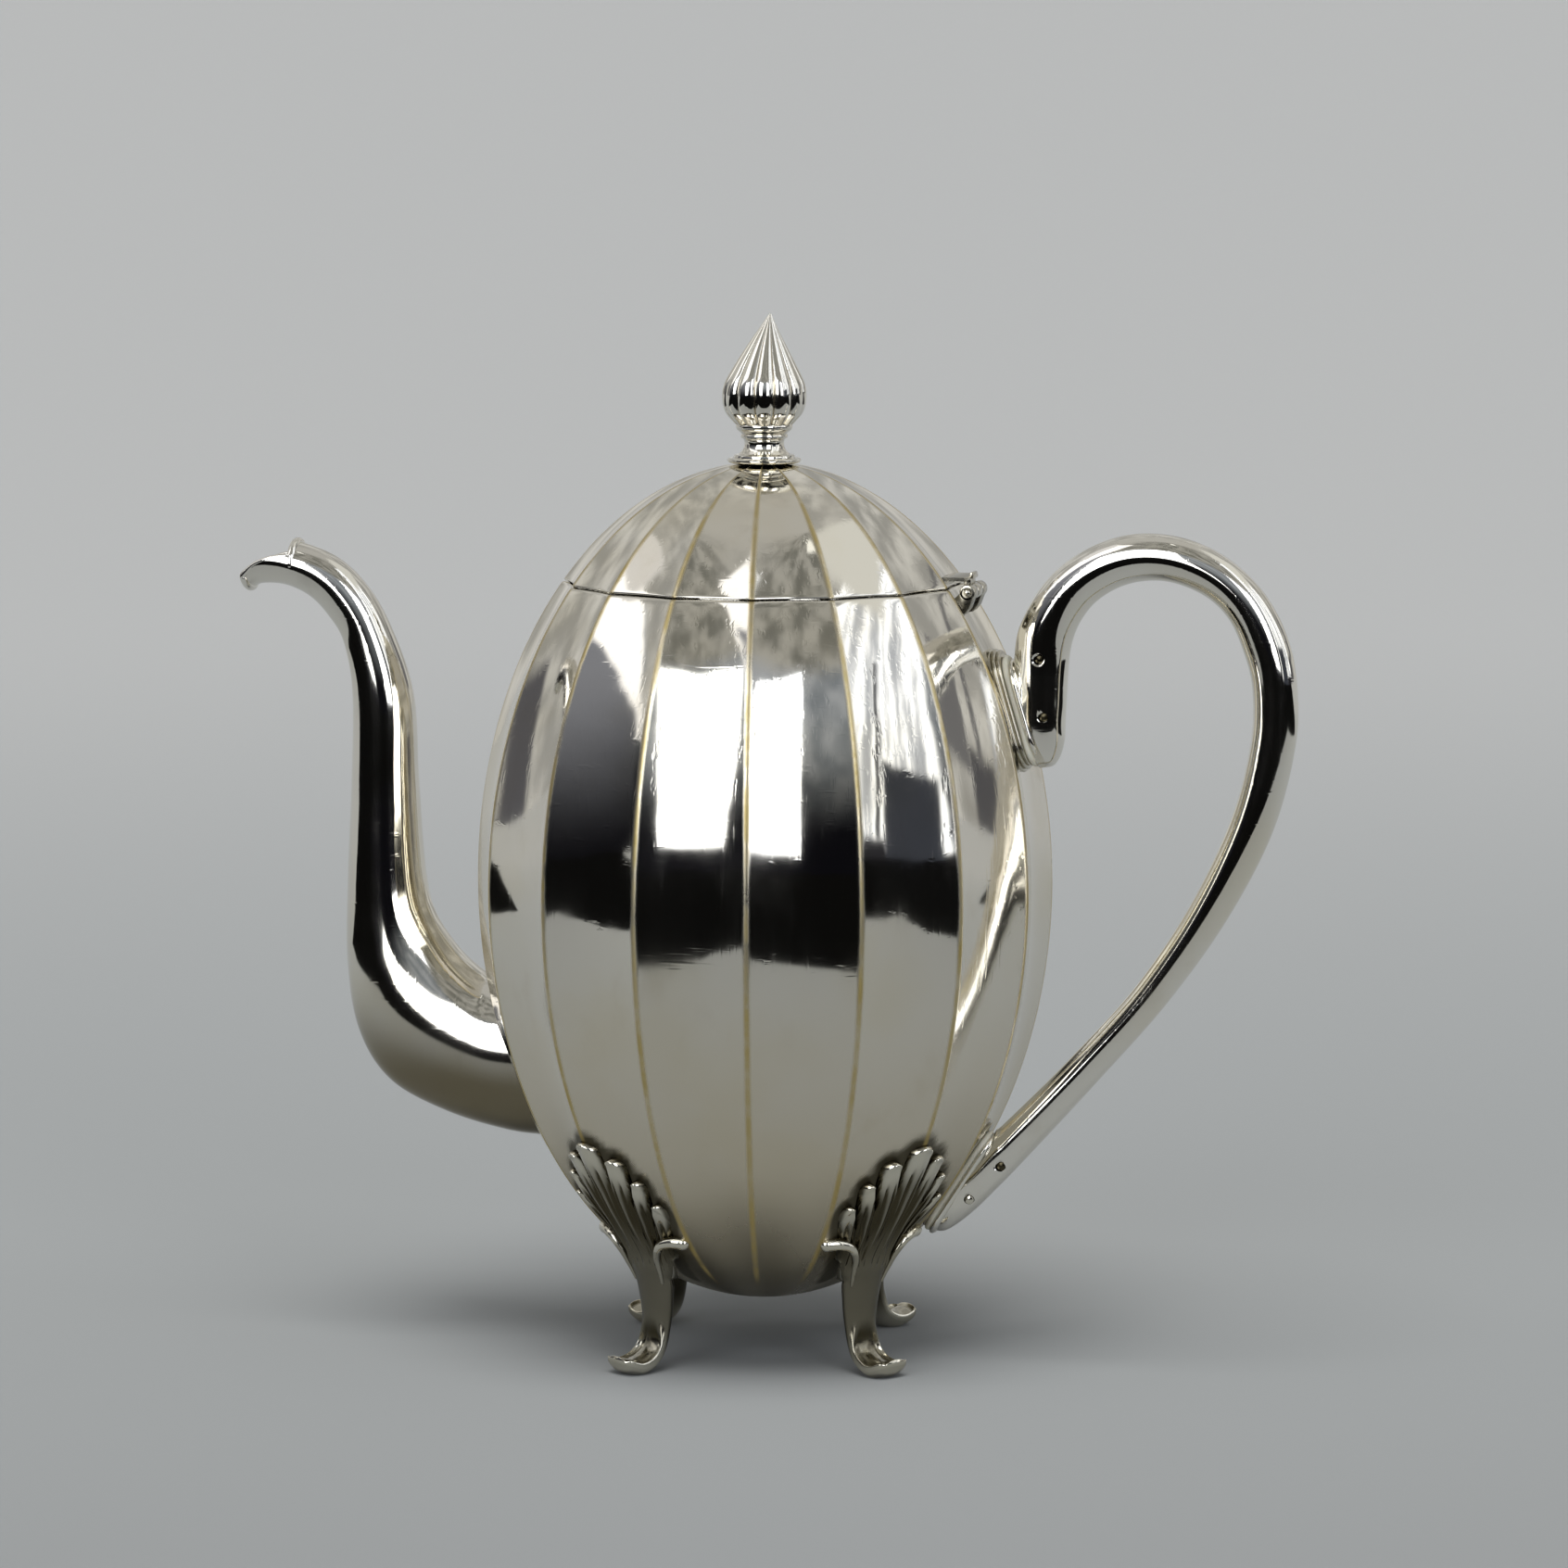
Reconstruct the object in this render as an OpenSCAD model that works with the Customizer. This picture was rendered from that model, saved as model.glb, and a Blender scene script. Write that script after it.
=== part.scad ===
// Fluted silver coffee pot on four shell feet: hinged domed lid with a bud finial, swan-neck
// spout, and a hollow loop handle pinned to insulated sockets.
// Millimetres, +Z up. The origin is on the table under the body's axis; the handle is on +X
// and the spout on -X.

/* [Body] */
// Radius of the body at its widest, measured on the ridges between the flutes
body_r = 60.8; // [59:0.1:62]
// Half the height of the egg that the body and lid are cut from
egg_half_h = 88.5; // [87:0.1:90]
// Height of the body's widest point above the table
egg_mid_z = 100.5; // [98:0.1:102]
// Number of concave flutes round the body and lid
flutes = 16; // [16:1:16]
// Depth of a flute, as a share of the ridge radius
flute_depth = 0.038; // [0.03:0.001:0.045]
// Thickness of the raised silver sheet
sheet = 0.9; // [0.7:0.05:1.1]

/* [Lid] */
// Height of the seam between body and lid
seam_z = 163.7; // [162:0.1:165]
// Width of the seam
seam_gap = 0.3; // [0.2:0.05:0.5]
// Outside radius of the flange that drops into the mouth
flange_r = 36.9; // [35:0.1:37]
// Depth of the flange below the seam
flange_drop = 5.5; // [4:0.1:6]

/* [Hinge] */
// Distance of the hinge axis from the body's axis
hinge_x = 45; // [44.5:0.1:46]
// Height of the hinge axis
hinge_z = 163; // [162:0.1:164]
// Outside radius of the knuckles
knuckle_r = 1.65; // [1.5:0.05:1.8]
// Whole length of the hinge across the pot
hinge_w = 12; // [10:0.5:14]
// Radius of the hinge pin
hinge_pin_r = 0.8; // [0.6:0.05:0.9]

/* [Handle] */
// Thickness of the hollow handle's wall
handle_wall = 0.8; // [0.6:0.05:1]
// Radius of the pins that hold the handle on its sockets
socket_pin_r = 0.95; // [0.8:0.05:1]
// Thickness of the insulating washers
insulator_t = 1.3; // [1:0.1:1.6]

/* [Finial] */
// Height of the tip of the finial above the table
overall_h = 220; // [218:0.5:222]
// Radius of the bud at its widest
bud_r = 8.85; // [8.5:0.05:9.2]
// Number of lobes round the bud
bud_lobes = 12; // [8:1:16]
// How far the tip of the bud leans towards the handle
bud_lean = 1.3; // [0:0.1:2]

/* [Feet] */
// Height that the cast leaf stands proud of the body's ridges
leaf_proud = 1.5; // [1:0.1:1.8]

/* [Hidden] */

silver = "#d9d7d2";
old_silver = "#b9b5a8";
bone = "#efe7d2";

smooth = 96;            // segments of a large exact circle
fine = 48;              // segments of a small exact circle
flute_angle = 360 / flutes;
flute_steps = 4;        // facets across one flute
body_rows = 30;
lid_rows = 11;
egg_steps = 30;         // cones in a smooth cutter shaped like the egg
fade_low_z = 17;        // the flutes fade out between these two heights
fade_high_z = 31;

// ---------- the egg ----------

// Ridge radius of the egg at height z, for an egg grown inwards by the offset
function egg_r(z, inset = 0) =
    (body_r - inset) * sqrt(max(0, 1 - pow((z - egg_mid_z) / (egg_half_h - inset), 2)));

function smoothstep(t) = let(c = min(1, max(0, t))) c * c * (3 - 2 * c);

// Share of the ridge radius left at an angle: 1 on a ridge, least in the middle of a flute
function flute_share(angle, z) =
    let(u = 2 * (angle / flute_angle - round(angle / flute_angle)))
    1 - flute_depth * (1 - u * u) * smoothstep((z - fade_low_z) / (fade_high_z - fade_low_z));

function fluted_r(angle, z, inset = 0) = egg_r(z, inset) * flute_share(angle, z);

// Ring of the fluted egg at its own latitude, 0 at the bottom and 180 at the top
function egg_ring(latitude, inset) =
    let(z = egg_mid_z - (egg_half_h - inset) * cos(latitude), count = flutes * flute_steps)
    [for (k = [0 : count - 1])
        let(a = 360 * k / count, r = fluted_r(a, z, inset)) [r * cos(a), r * sin(a), z]];

function latitude_at(z, inset) = acos((egg_mid_z - z) / (egg_half_h - inset));

// Distance of the body's surface from the plane x = 0 at height z and a distance y to the side
function body_x(y, z, inset = 0) =
    let(r = egg_r(z, inset), a = asin(min(1, abs(y) / r)), f = r * flute_share(a, z))
    sqrt(max(0, f * f - y * y));

// Round egg without flutes: its radius is the given share of the ridge radius, less the inset
module round_egg(share, inset)
    rotate_extrude($fn = smooth)
        polygon([for (k = [0 : egg_steps]) let(a = 180 * k / egg_steps)
            [(body_r * share - inset) * sin(a), egg_mid_z - (egg_half_h - inset) * cos(a)]]);

// Round egg that touches the middles of the flutes from inside, shrunk by the inset
module flute_egg(inset) round_egg(1 - flute_depth, inset);

// ---------- skins and lofts ----------

// Closed surface over rings that all have the same number of points. With loop = true the last
// ring joins the first; otherwise the two end rings are capped.
module skin(rings, loop = false) {
    n = len(rings);
    m = len(rings[0]);
    spans = loop ? n : n - 1;
    sides = [for (i = [0 : spans - 1], k = [0 : m - 1])
        let(a = i * m + k, b = i * m + (k + 1) % m,
            c = ((i + 1) % n) * m + (k + 1) % m, d = ((i + 1) % n) * m + k)
        each [[a, d, c], [a, c, b]]];
    caps = loop ? [] : [[for (k = [0 : m - 1]) k], [for (k = [m - 1 : -1 : 0]) (n - 1) * m + k]];
    polyhedron([for (r = rings) each r], concat(sides, caps), convexity = 8);
}

// Point at parameter t on the smooth curve through the list p; t counts list entries
function along(p, t) =
    let(n = len(p), i = min(floor(t), n - 2), u = t - i,
        b = p[i], c = p[i + 1],
        a = i > 0 ? p[i - 1] : 2 * b - c,
        d = i < n - 2 ? p[i + 2] : 2 * c - b)
    0.5 * (2 * b + (c - a) * u + (2 * a - 5 * b + 4 * c - d) * u * u
           + (3 * b - a - 3 * c + d) * u * u * u);

// A station is [x1, z1, x2, z2, w]: the two edges of a tube in the plane y = 0, and its half
// width across that plane. Its section is the ellipse on those axes, shrunk by the inset.
function section(s, inset, sides) =
    let(mid = [s[0] + s[2], s[1] + s[3]] / 2, half = [s[0] - s[2], s[1] - s[3]] / 2,
        k = 1 - inset / norm(half))
    [for (i = [0 : sides - 1]) let(a = 360 * i / sides)
        [mid[0] + half[0] * k * cos(a), (s[4] - inset) * sin(a), mid[1] + half[1] * k * cos(a)]];

function sections(stations, inset, sides, steps) =
    let(last = (len(stations) - 1) * steps)
    [for (i = [0 : last]) section(along(stations, i / steps), inset, sides)];

function reversed(v) = [for (i = [len(v) - 1 : -1 : 0]) v[i]];

// ---------- body ----------

pour_z = 62;            // the opening in the wall behind the spout
pour_r = 7.5;
bottom_latitude = 9;    // edge of the flat middle of the bottom

// Rings of the fluted egg between two latitudes, for the outside or for the sheet's inside
function egg_rings(from, to, rows, inset) =
    [for (i = [0 : rows]) egg_ring(from + (to - from) * i / rows, inset)];

module body_shell() color(silver)
    difference() {
        skin(concat(egg_rings(bottom_latitude, latitude_at(seam_z, 0), body_rows, 0),
                    reversed(egg_rings(bottom_latitude, latitude_at(seam_z, sheet), body_rows, sheet))));
        translate([-body_r, 0, pour_z]) rotate([0, 90, 0])
            cylinder(h = body_r / 2, r = pour_r, $fn = fine);
    }

// Ring soldered inside the mouth, which stiffens it and centres the lid's flange
ring_clearance = 0.6;
ring_low_z = seam_z - 3;
ring_high_z = seam_z - 0.2;
solder = 0.25;          // how far soldered parts sink into the sheet

// Outside radius at height z of a round part soldered to the inside of the fluted sheet
function wall_r(z) = fluted_r(0, z, sheet) + solder;

module mouth_ring() color(silver)
    rotate_extrude($fn = smooth)
        polygon([[flange_r + ring_clearance, ring_low_z], [wall_r(ring_low_z), ring_low_z],
                 [wall_r(ring_high_z), ring_high_z], [flange_r + ring_clearance, ring_high_z]]);

// ---------- spout ----------

// Edges of the spout from the body to the mouth: upper edge, lower edge, half width
spout_stations = [
    [-56.5, 77, -45.5, 44, 13.5],
    [-61.5, 78.3, -56, 44.8, 13],
    [-66.5, 82, -70, 48.3, 12.3],
    [-70.5, 86.8, -82.5, 54.5, 11.5],
    [-73, 91, -89.5, 65, 10.6],
    [-74.6, 96, -92.1, 80, 9.6],
    [-75.7, 105, -91.9, 99, 8.6],
    [-76.6, 120, -91, 119, 7.4],
    [-77.6, 138, -90.7, 138, 6.6],
    [-82.4, 152, -92.6, 148.8, 5.6],
    [-87.8, 161, -96.2, 154.6, 5.3],
    [-94.5, 166.9, -100.3, 158.5, 5.3],
    [-103, 170, -105.5, 160.7, 5.6],
    [-109.5, 170.5, -110.8, 160.9, 5.4],
    [-115, 167, -113.4, 159.7, 4.4]];
spout_wall = 0.9;
spout_sides = 20;
spout_steps = 3;
spout_embed = 0.5;      // how far the spout's root sinks into the body's wall
mouth_x = -103;         // where the upper wall of the spout ends
mouth_sill_z = 167.4;
// Edge of the open lip, seen from the side, from the mouth to the tip
lip_edge = [[mouth_x, mouth_sill_z], [-107.5, 166.7], [-111.1, 165.3], [-113.4, 163.4], [-114.6, 161.9]];
cut_top_z = 175;
cut_end_x = -120;

function spout_root(inset) = [for (p = section(spout_stations[0], inset, spout_sides))
    [-body_x(p[1], p[2]) + spout_embed, p[1], p[2]]];

function spout_rings(inset) = concat([spout_root(inset)],
    [for (i = [1 : (len(spout_stations) - 1) * spout_steps])
        section(along(spout_stations, i / spout_steps), inset, spout_sides)]);

module spout() color(silver)
    difference() {
        skin(concat(spout_rings(0), reversed(spout_rings(spout_wall))), loop = true);
        // the upper wall is cut away in front of the mouth, which leaves an open pouring lip
        rotate([90, 0, 0]) linear_extrude(height = 30, center = true)
            polygon(concat(lip_edge, [[cut_end_x, lip_edge[4][1]], [cut_end_x, cut_top_z],
                                      [mouth_x, cut_top_z]]));
    }

// Rolled bead over the mouth: a half ring of wire
bead_r = 0.9;
bead_ring_r = 4.75;
bead_z = 165.2;

module spout_lip_bead() color(silver)
    translate([mouth_x, 0, bead_z]) rotate([0, -90, 0]) rotate([0, 0, -90])
        rotate_extrude(angle = 180, $fn = smooth) translate([bead_ring_r, 0]) circle(r = bead_r, $fn = fine);

// ---------- handle and its sockets ----------

// Edges of the handle from its upper end to its lower end: inner edge, outer edge, half width
handle_stations = [
    [59.6, 126.2, 53.7, 146, 4.9],
    [62.6, 127.2, 53.7, 146.6, 5.2],
    [64.4, 131.5, 53.7, 147.2, 5.4],
    [64.8, 139, 53.8, 148.3, 5.5],
    [65.8, 151.8, 55, 156, 5.6],
    [69, 159, 60.4, 165.3, 5.3],
    [74, 163.4, 68.6, 172, 5.1],
    [80.2, 165.7, 78.5, 175.5, 5],
    [87, 165.7, 89, 175, 4.8],
    [94.1, 163, 98.5, 171, 4.6],
    [99, 158.5, 106.2, 164, 4.6],
    [102.1, 152, 111.2, 155, 4.7],
    [104.1, 144.2, 113.4, 145, 4.7],
    [103.8, 133, 113.1, 132, 4.6],
    [100, 117.3, 108.5, 114.2, 4.5],
    [91.6, 99, 99, 95.5, 4.1],
    [80.4, 81.7, 86.6, 77.7, 3.7],
    [67.1, 66.4, 72.5, 61.2, 3.75],
    [52.8, 51.6, 58.5, 45.5, 4.2],
    [50.6, 49.7, 51, 37.4, 4.4],
    [50.3, 49.2, 45, 31.4, 4.5],
    [50, 48.8, 39.8, 27.6, 4.4],
    [49.8, 48.4, 36.2, 27.5, 4.2]];
handle_sides = 16;
handle_steps = 3;

// Where the handle's slanted ends meet their washers: the middle of the face, and its tilt
upper_face = [56, 138.3];
upper_tilt = -106.6;
upper_oval = [25, 10.6];
lower_face = [43, 37.95];
lower_tilt = -56.95;
lower_oval = [26.5, 9.4];
neck = [14, 4];         // the tenon's neck, where it passes through the washer
neck_reach = 3.2;       // how far the neck runs into the handle
socket_reach = 9;       // long enough to run from a washer into the body at any height
socket_extra = 2.5;     // how much further the sockets reach up than their washers
// The tenons inside the handle's ends: length along the pins' line, and thickness
upper_tenon = [18.5, 4.6];
lower_tenon = [14, 3.2];
lower_tenon_tilt = -47.4;
lower_tenon_shift = 0.5;

upper_pin_at = [[60, 149.4], [61, 137.4]];
lower_pin_at = [[52.1, 42.3], [45.4, 35]];
upper_pin_len = 10.4;
lower_pin_len = 7.6;

function middle(pair) = (pair[0] + pair[1]) / 2;

module handle() color(silver)
    difference() {
        skin(concat(sections(handle_stations, 0, handle_sides, handle_steps),
                    reversed(sections(handle_stations, handle_wall, handle_sides, handle_steps))),
             loop = true);
        pins(upper_pin_at, 4 * upper_pin_len);
        pins(lower_pin_at, 4 * lower_pin_len);
    }

// Pins across the handle at points in the plane y = 0
module pins(at, length)
    for (p = at)
        translate([p[0], 0, p[1]]) rotate([90, 0, 0])
            cylinder(h = length, r = socket_pin_r, center = true, $fn = fine);

module upper_handle_pins() color(silver) pins(upper_pin_at, upper_pin_len);
module lower_handle_pins() color(silver) pins(lower_pin_at, lower_pin_len);

// Puts its children on a slanted face: their x runs up the face and their z into the body
module on_face(at, tilt) translate([at[0], 0, at[1]]) rotate([0, tilt, 0]) children();

module oval(size) {
    square([size[0] - size[1], size[1]], center = true);
    for (side = [-1, 1])
        translate([side * (size[0] - size[1]) / 2, 0]) circle(d = size[1], $fn = fine);
}

module insulator(at, tilt, size)
    on_face(at, tilt) linear_extrude(height = insulator_t)
        difference() {
            oval(size);
            square(neck, center = true);
        }

// Socket block on the body, with the neck of its tenon
module socket_block(at, tilt, size) {
    difference() {
        on_face(at, tilt) translate([socket_extra / 2, 0, insulator_t])
            linear_extrude(height = socket_reach) oval([size[0] + socket_extra, size[1]]);
        flute_egg(solder);
    }
    on_face(at, tilt) translate([0, 0, (insulator_t - neck_reach) / 2 + solder])
        cube([neck[0], neck[1], insulator_t + neck_reach], center = true);
}

module upper_socket() color(silver)
    difference() {
        union() {
            socket_block(upper_face, upper_tilt, upper_oval);
            translate([middle(upper_pin_at)[0], 0, middle(upper_pin_at)[1]])
                cube([upper_tenon[1], neck[1], upper_tenon[0]], center = true);
        }
        pins(upper_pin_at, 2 * upper_pin_len);
    }

module upper_insulator() color(bone) insulator(upper_face, upper_tilt, upper_oval);

module lower_socket() color(silver)
    difference() {
        union() {
            socket_block(lower_face, lower_tilt, lower_oval);
            translate([middle(lower_pin_at)[0], 0, middle(lower_pin_at)[1]])
                rotate([0, lower_tenon_tilt, 0]) translate([0, 0, lower_tenon_shift])
                    cube([lower_tenon[0], neck[1], lower_tenon[1]], center = true);
        }
        pins(lower_pin_at, 2 * lower_pin_len);
    }

module lower_insulator() color(bone) insulator(lower_face, lower_tilt, lower_oval);

// ---------- feet ----------

// Leg in its own upright plane, from the leaf to the toe: back edge, front edge, half width
leg_stations = [
    [37.9, 30.8, 41, 33, 4.6],
    [32.6, 25, 37.6, 27.3, 5.2],
    [28.2, 19.6, 34.2, 21.2, 5.2],
    [27.8, 14.5, 32.6, 15.3, 4.6],
    [28.2, 9.3, 32.2, 10.3, 4],
    [29.6, 3.9, 33.2, 6.6, 3.9],
    [32.4, 0.7, 35.2, 4.9, 4.1],
    [36, -0.6, 37.8, 4.4, 4.3],
    [39.6, 0.4, 40.3, 4.9, 4],
    [41.1, 1.9, 41.4, 4.1, 2.8]];
leg_sides = 14;
leg_steps = 2;
leaf_back = 0.5;        // how far the leaf's back sinks below the flutes
// Lobes of the shell leaf: distance to the side, height, radius
leaf_lobes = [[0, 46.6, 3.4], [6, 42.4, 3.1], [9.4, 37.3, 2.7], [10.3, 32.3, 2.3], [9.6, 27.3, 2]];
leaf_root = [4.2, 19];  // half width and height of the leaf's narrow end
slot = [0.8, 3.6];      // width and depth of the slots between the lobes
leaf_reach = [22, 36];  // start and depth of the block that the leaf is cut from

module leaf_outline()
    for (side = [-1, 1])
        difference() {
            for (lobe = leaf_lobes) {
                translate([side * lobe[0], lobe[1]]) circle(r = lobe[2], $fn = fine);
                polygon([[side * lobe[0] - lobe[2], lobe[1]], [side * lobe[0] + lobe[2], lobe[1]],
                         [leaf_root[0], leaf_root[1]], [-leaf_root[0], leaf_root[1]]]);
            }
            for (i = [0 : len(leaf_lobes) - 2]) {
                mid = (leaf_lobes[i] + leaf_lobes[i + 1]) / 2;
                turn = atan2(mid[0], mid[1] - leaf_root[1]);
                translate([side * mid[0], mid[1]]) rotate([0, 0, -side * turn])
                    translate([-slot[0] / 2, 0]) square(slot);
            }
        }

module foot(angle) color(old_silver)
    rotate([0, 0, angle])
        difference() {
            union() {
                intersection() {
                    translate([leaf_reach[0], 0, 0]) rotate([90, 0, 90])
                        linear_extrude(height = leaf_reach[1]) leaf_outline();
                    difference() {
                        round_egg(1, -leaf_proud);
                        flute_egg(leaf_back);
                    }
                }
                skin(sections(leg_stations, 0, leg_sides, leg_steps));
            }
            translate([0, -body_r / 2, -20]) cube([body_r, body_r, 20]);
        }

// The feet stand on ridges, three flutes either side of the spout and handle's line
foot_angle = 2.5 * flute_angle;
module front_left_foot() foot(-180 + foot_angle);
module front_right_foot() foot(-foot_angle + flute_angle);
module rear_right_foot() foot(foot_angle);
module rear_left_foot() foot(180 - foot_angle + flute_angle);

// ---------- hinge ----------

lid_knuckle = hinge_w / 3;
knuckle_gap = 0.3;
running_gap = 0.05;
leaf_t = 1.2;
leaf_low_z = hinge_z + knuckle_r + knuckle_gap;
leaf_from_x = 38;       // inside the lid's wall, before the leaf is trimmed to the lid
plate = [1.9, hinge_w, 3.5];
plate_at = [41.8, -hinge_w / 2, hinge_z - 6.5];
lug = [0.8, lid_knuckle, 1.4];
// Side view of the brackets, measured from the hinge axis
bracket = [[-3.5, -5.5], [-1, -5], [1.2, -1], [-1, 1], [-1.65, -0.2], [-3.5, -2]];

// Cylinder along the hinge axis between two distances to the side
module on_axis(from, to, r)
    translate([hinge_x, from, hinge_z]) rotate([-90, 0, 0]) cylinder(h = to - from, r = r, $fn = fine);

module hinge_body_leaf() color(silver)
    difference() {
        union() {
            for (side = [-1, 1]) {
                near = lid_knuckle / 2 + knuckle_gap;
                far = hinge_w / 2;
                on_axis(side > 0 ? near : -far, side > 0 ? far : -near, knuckle_r);
                // bracket from the body up to the knuckle
                translate([0, side > 0 ? near : -far, 0]) rotate([90, 0, 0]) mirror([0, 0, 1])
                    linear_extrude(height = far - near) translate([hinge_x, hinge_z]) polygon(bracket);
            }
            // plate soldered to the wall below the knuckles
            translate(plate_at) cube(plate);
        }
        flute_egg(solder);
        on_axis(-hinge_w, hinge_w, hinge_pin_r);
    }

pin_end = hinge_w / 2 + 0.2;

module hinge_pin() color(silver) on_axis(-pin_end, pin_end, hinge_pin_r);

module hinge_lid_leaf() color(silver) {
    difference() {
        union() {
            on_axis(-lid_knuckle / 2, lid_knuckle / 2, knuckle_r);
            translate([hinge_x - knuckle_r, -lid_knuckle / 2, hinge_z])
                cube([knuckle_r, lid_knuckle, leaf_low_z + leaf_t - hinge_z]);
        }
        on_axis(-hinge_w, hinge_w, hinge_pin_r + running_gap);
    }
    difference() {
        translate([leaf_from_x, -hinge_w / 2, leaf_low_z]) cube([hinge_x - leaf_from_x, hinge_w, leaf_t]);
        flute_egg(solder);
    }
    // lug that stands up from the end of the leaf
    translate([hinge_x - lug[0] / 2, -lid_knuckle / 2, leaf_low_z + leaf_t / 2]) cube(lug);
}

// ---------- lid ----------

crown_latitude = 176;
lid_base_z = seam_z + seam_gap;
stud_r = 1.5;
crown_z = egg_mid_z - egg_half_h * cos(crown_latitude);             // flat on top of the lid
crown_under_z = egg_mid_z - (egg_half_h - sheet) * cos(crown_latitude);
flange_t = 1.2;
ledge_low_z = lid_base_z + 0.3;
ledge_high_z = ledge_low_z + 1;

module lid_shell() color(silver)
    difference() {
        skin(concat(reversed(egg_rings(latitude_at(lid_base_z, sheet), crown_latitude, lid_rows, sheet)),
                    egg_rings(latitude_at(lid_base_z, 0), crown_latitude, lid_rows, 0)));
        translate([0, 0, seam_z]) cylinder(h = overall_h - seam_z, r = stud_r, $fn = fine);
    }

module lid_flange() color(silver)
    rotate_extrude($fn = smooth)
        polygon([[flange_r - flange_t, seam_z - flange_drop], [flange_r, seam_z - flange_drop],
                 [flange_r, ledge_low_z], [wall_r(ledge_low_z), ledge_low_z],
                 [wall_r(ledge_high_z), ledge_high_z], [flange_r - flange_t, ledge_high_z]]);

// ---------- finial ----------

collar_t = 1.8;
collar_r = 7.8;
stem_top_z = 197;
// Outline of the bud's ridges from the calyx to the tip: height, radius
bud_outline = [[stem_top_z - 0.4, 5.7], [197.5, 6.6], [199.5, 8.2], [202.4, bud_r], [205.5, 8.4],
               [209, 6.6], [213, 4.3], [217, 1.9], [overall_h, 0.2]];
bud_rows = 16;
bud_steps = 4;          // facets across one lobe
bud_crease = 0.1;       // depth of the creases between the lobes, as a share of the radius
lean_from_z = 201;
stud_low_z = crown_z - 7;
washer_t = 0.9;
nut_t = 2.4;

module finial_collar() color(silver)
    difference() {
        translate([0, 0, crown_z]) rotate_extrude($fn = smooth)
            polygon([[0, 0], [6.2, 0], [collar_r - 0.4, 0.2], [collar_r, 0.6], [collar_r - 0.4, 1],
                     [6.4, 1.2], [6.2, collar_t], [0, collar_t]]);
        cylinder(h = overall_h, r = stud_r, $fn = fine);
    }

// Turned foot of the finial, from the collar up to the calyx
module finial_stem()
    translate([0, 0, stem_top_z]) rotate_extrude($fn = smooth)
        polygon([[0, crown_z + collar_t - stem_top_z], [5.4, crown_z + collar_t - stem_top_z], [5.1, -6],
                 [4.4, -5.2], [4.15, -4], [4.4, -3], [4.9, -2.7], [4.9, -2.2], [5.3, -1.7], [5.9, -0.8],
                 [5.9, -0.2], [5.6, 0.2], [0, 0.2]]);

// Ring of the bud at its outline point p, leaning towards the tip
function bud_ring(p) =
    let(count = bud_lobes * bud_steps, rise = max(0, p[0] - lean_from_z) / (overall_h - lean_from_z),
        shift = bud_lean * rise * rise)
    [for (k = [0 : count - 1])
        let(a = 360 * k / count, u = 2 * (k % bud_steps) / bud_steps - 1,
            r = p[1] * (1 - bud_crease * u * u))
        [r * cos(a) + shift, r * sin(a), p[0]]];

module finial_bud() color(silver) {
    last = len(bud_outline) - 1;
    skin([for (i = [0 : bud_rows]) bud_ring(along(bud_outline, last * i / bud_rows))]);
    finial_stem();
    translate([0, 0, stud_low_z]) cylinder(h = stem_top_z - stud_low_z - 1, r = stud_r, $fn = fine);
}

// Flat ring on the stud
module washer(z, thickness, radius, sides)
    translate([0, 0, z]) linear_extrude(height = thickness)
        difference() {
            circle(r = radius, $fn = sides);
            circle(r = stud_r, $fn = fine);
        }

module finial_washer() color(silver) washer(crown_under_z - washer_t, washer_t, 4, fine);
module finial_nut() color(silver) washer(crown_under_z - washer_t - nut_t, nut_t, 3, 6);

body_shell();
mouth_ring();
spout();
spout_lip_bead();
upper_socket();
upper_insulator();
lower_socket();
lower_insulator();
handle();
upper_handle_pins();
lower_handle_pins();
front_left_foot();
front_right_foot();
rear_right_foot();
rear_left_foot();
hinge_body_leaf();
hinge_pin();
hinge_lid_leaf();
lid_shell();
lid_flange();
finial_collar();
finial_bud();
finial_washer();
finial_nut();
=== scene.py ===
"""Looks of the fluted silver coffee pot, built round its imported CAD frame.

Shapes are worked out in millimetres, in the CAD's frame, and turned to metres when a mesh is made.
"""
import math

import bmesh
import bpy
import numpy as np
from mathutils import Matrix, Vector


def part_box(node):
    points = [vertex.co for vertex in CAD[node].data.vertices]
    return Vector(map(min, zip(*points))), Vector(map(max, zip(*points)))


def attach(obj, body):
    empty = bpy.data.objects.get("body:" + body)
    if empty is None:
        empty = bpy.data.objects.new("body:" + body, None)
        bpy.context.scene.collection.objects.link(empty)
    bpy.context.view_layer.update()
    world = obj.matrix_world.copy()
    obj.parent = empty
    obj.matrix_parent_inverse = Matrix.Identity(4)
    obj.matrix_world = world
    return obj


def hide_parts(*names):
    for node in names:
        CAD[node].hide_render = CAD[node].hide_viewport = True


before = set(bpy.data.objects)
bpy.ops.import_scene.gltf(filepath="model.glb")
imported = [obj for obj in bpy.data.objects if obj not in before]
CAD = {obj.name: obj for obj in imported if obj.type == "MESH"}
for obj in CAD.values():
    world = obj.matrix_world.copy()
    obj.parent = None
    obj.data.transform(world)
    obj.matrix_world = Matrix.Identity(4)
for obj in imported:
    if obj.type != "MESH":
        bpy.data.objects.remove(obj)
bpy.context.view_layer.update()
MM = 0.001


def top_mm(node):
    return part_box(node)[1].z / MM


def low_mm(node):
    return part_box(node)[0].z / MM


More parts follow.
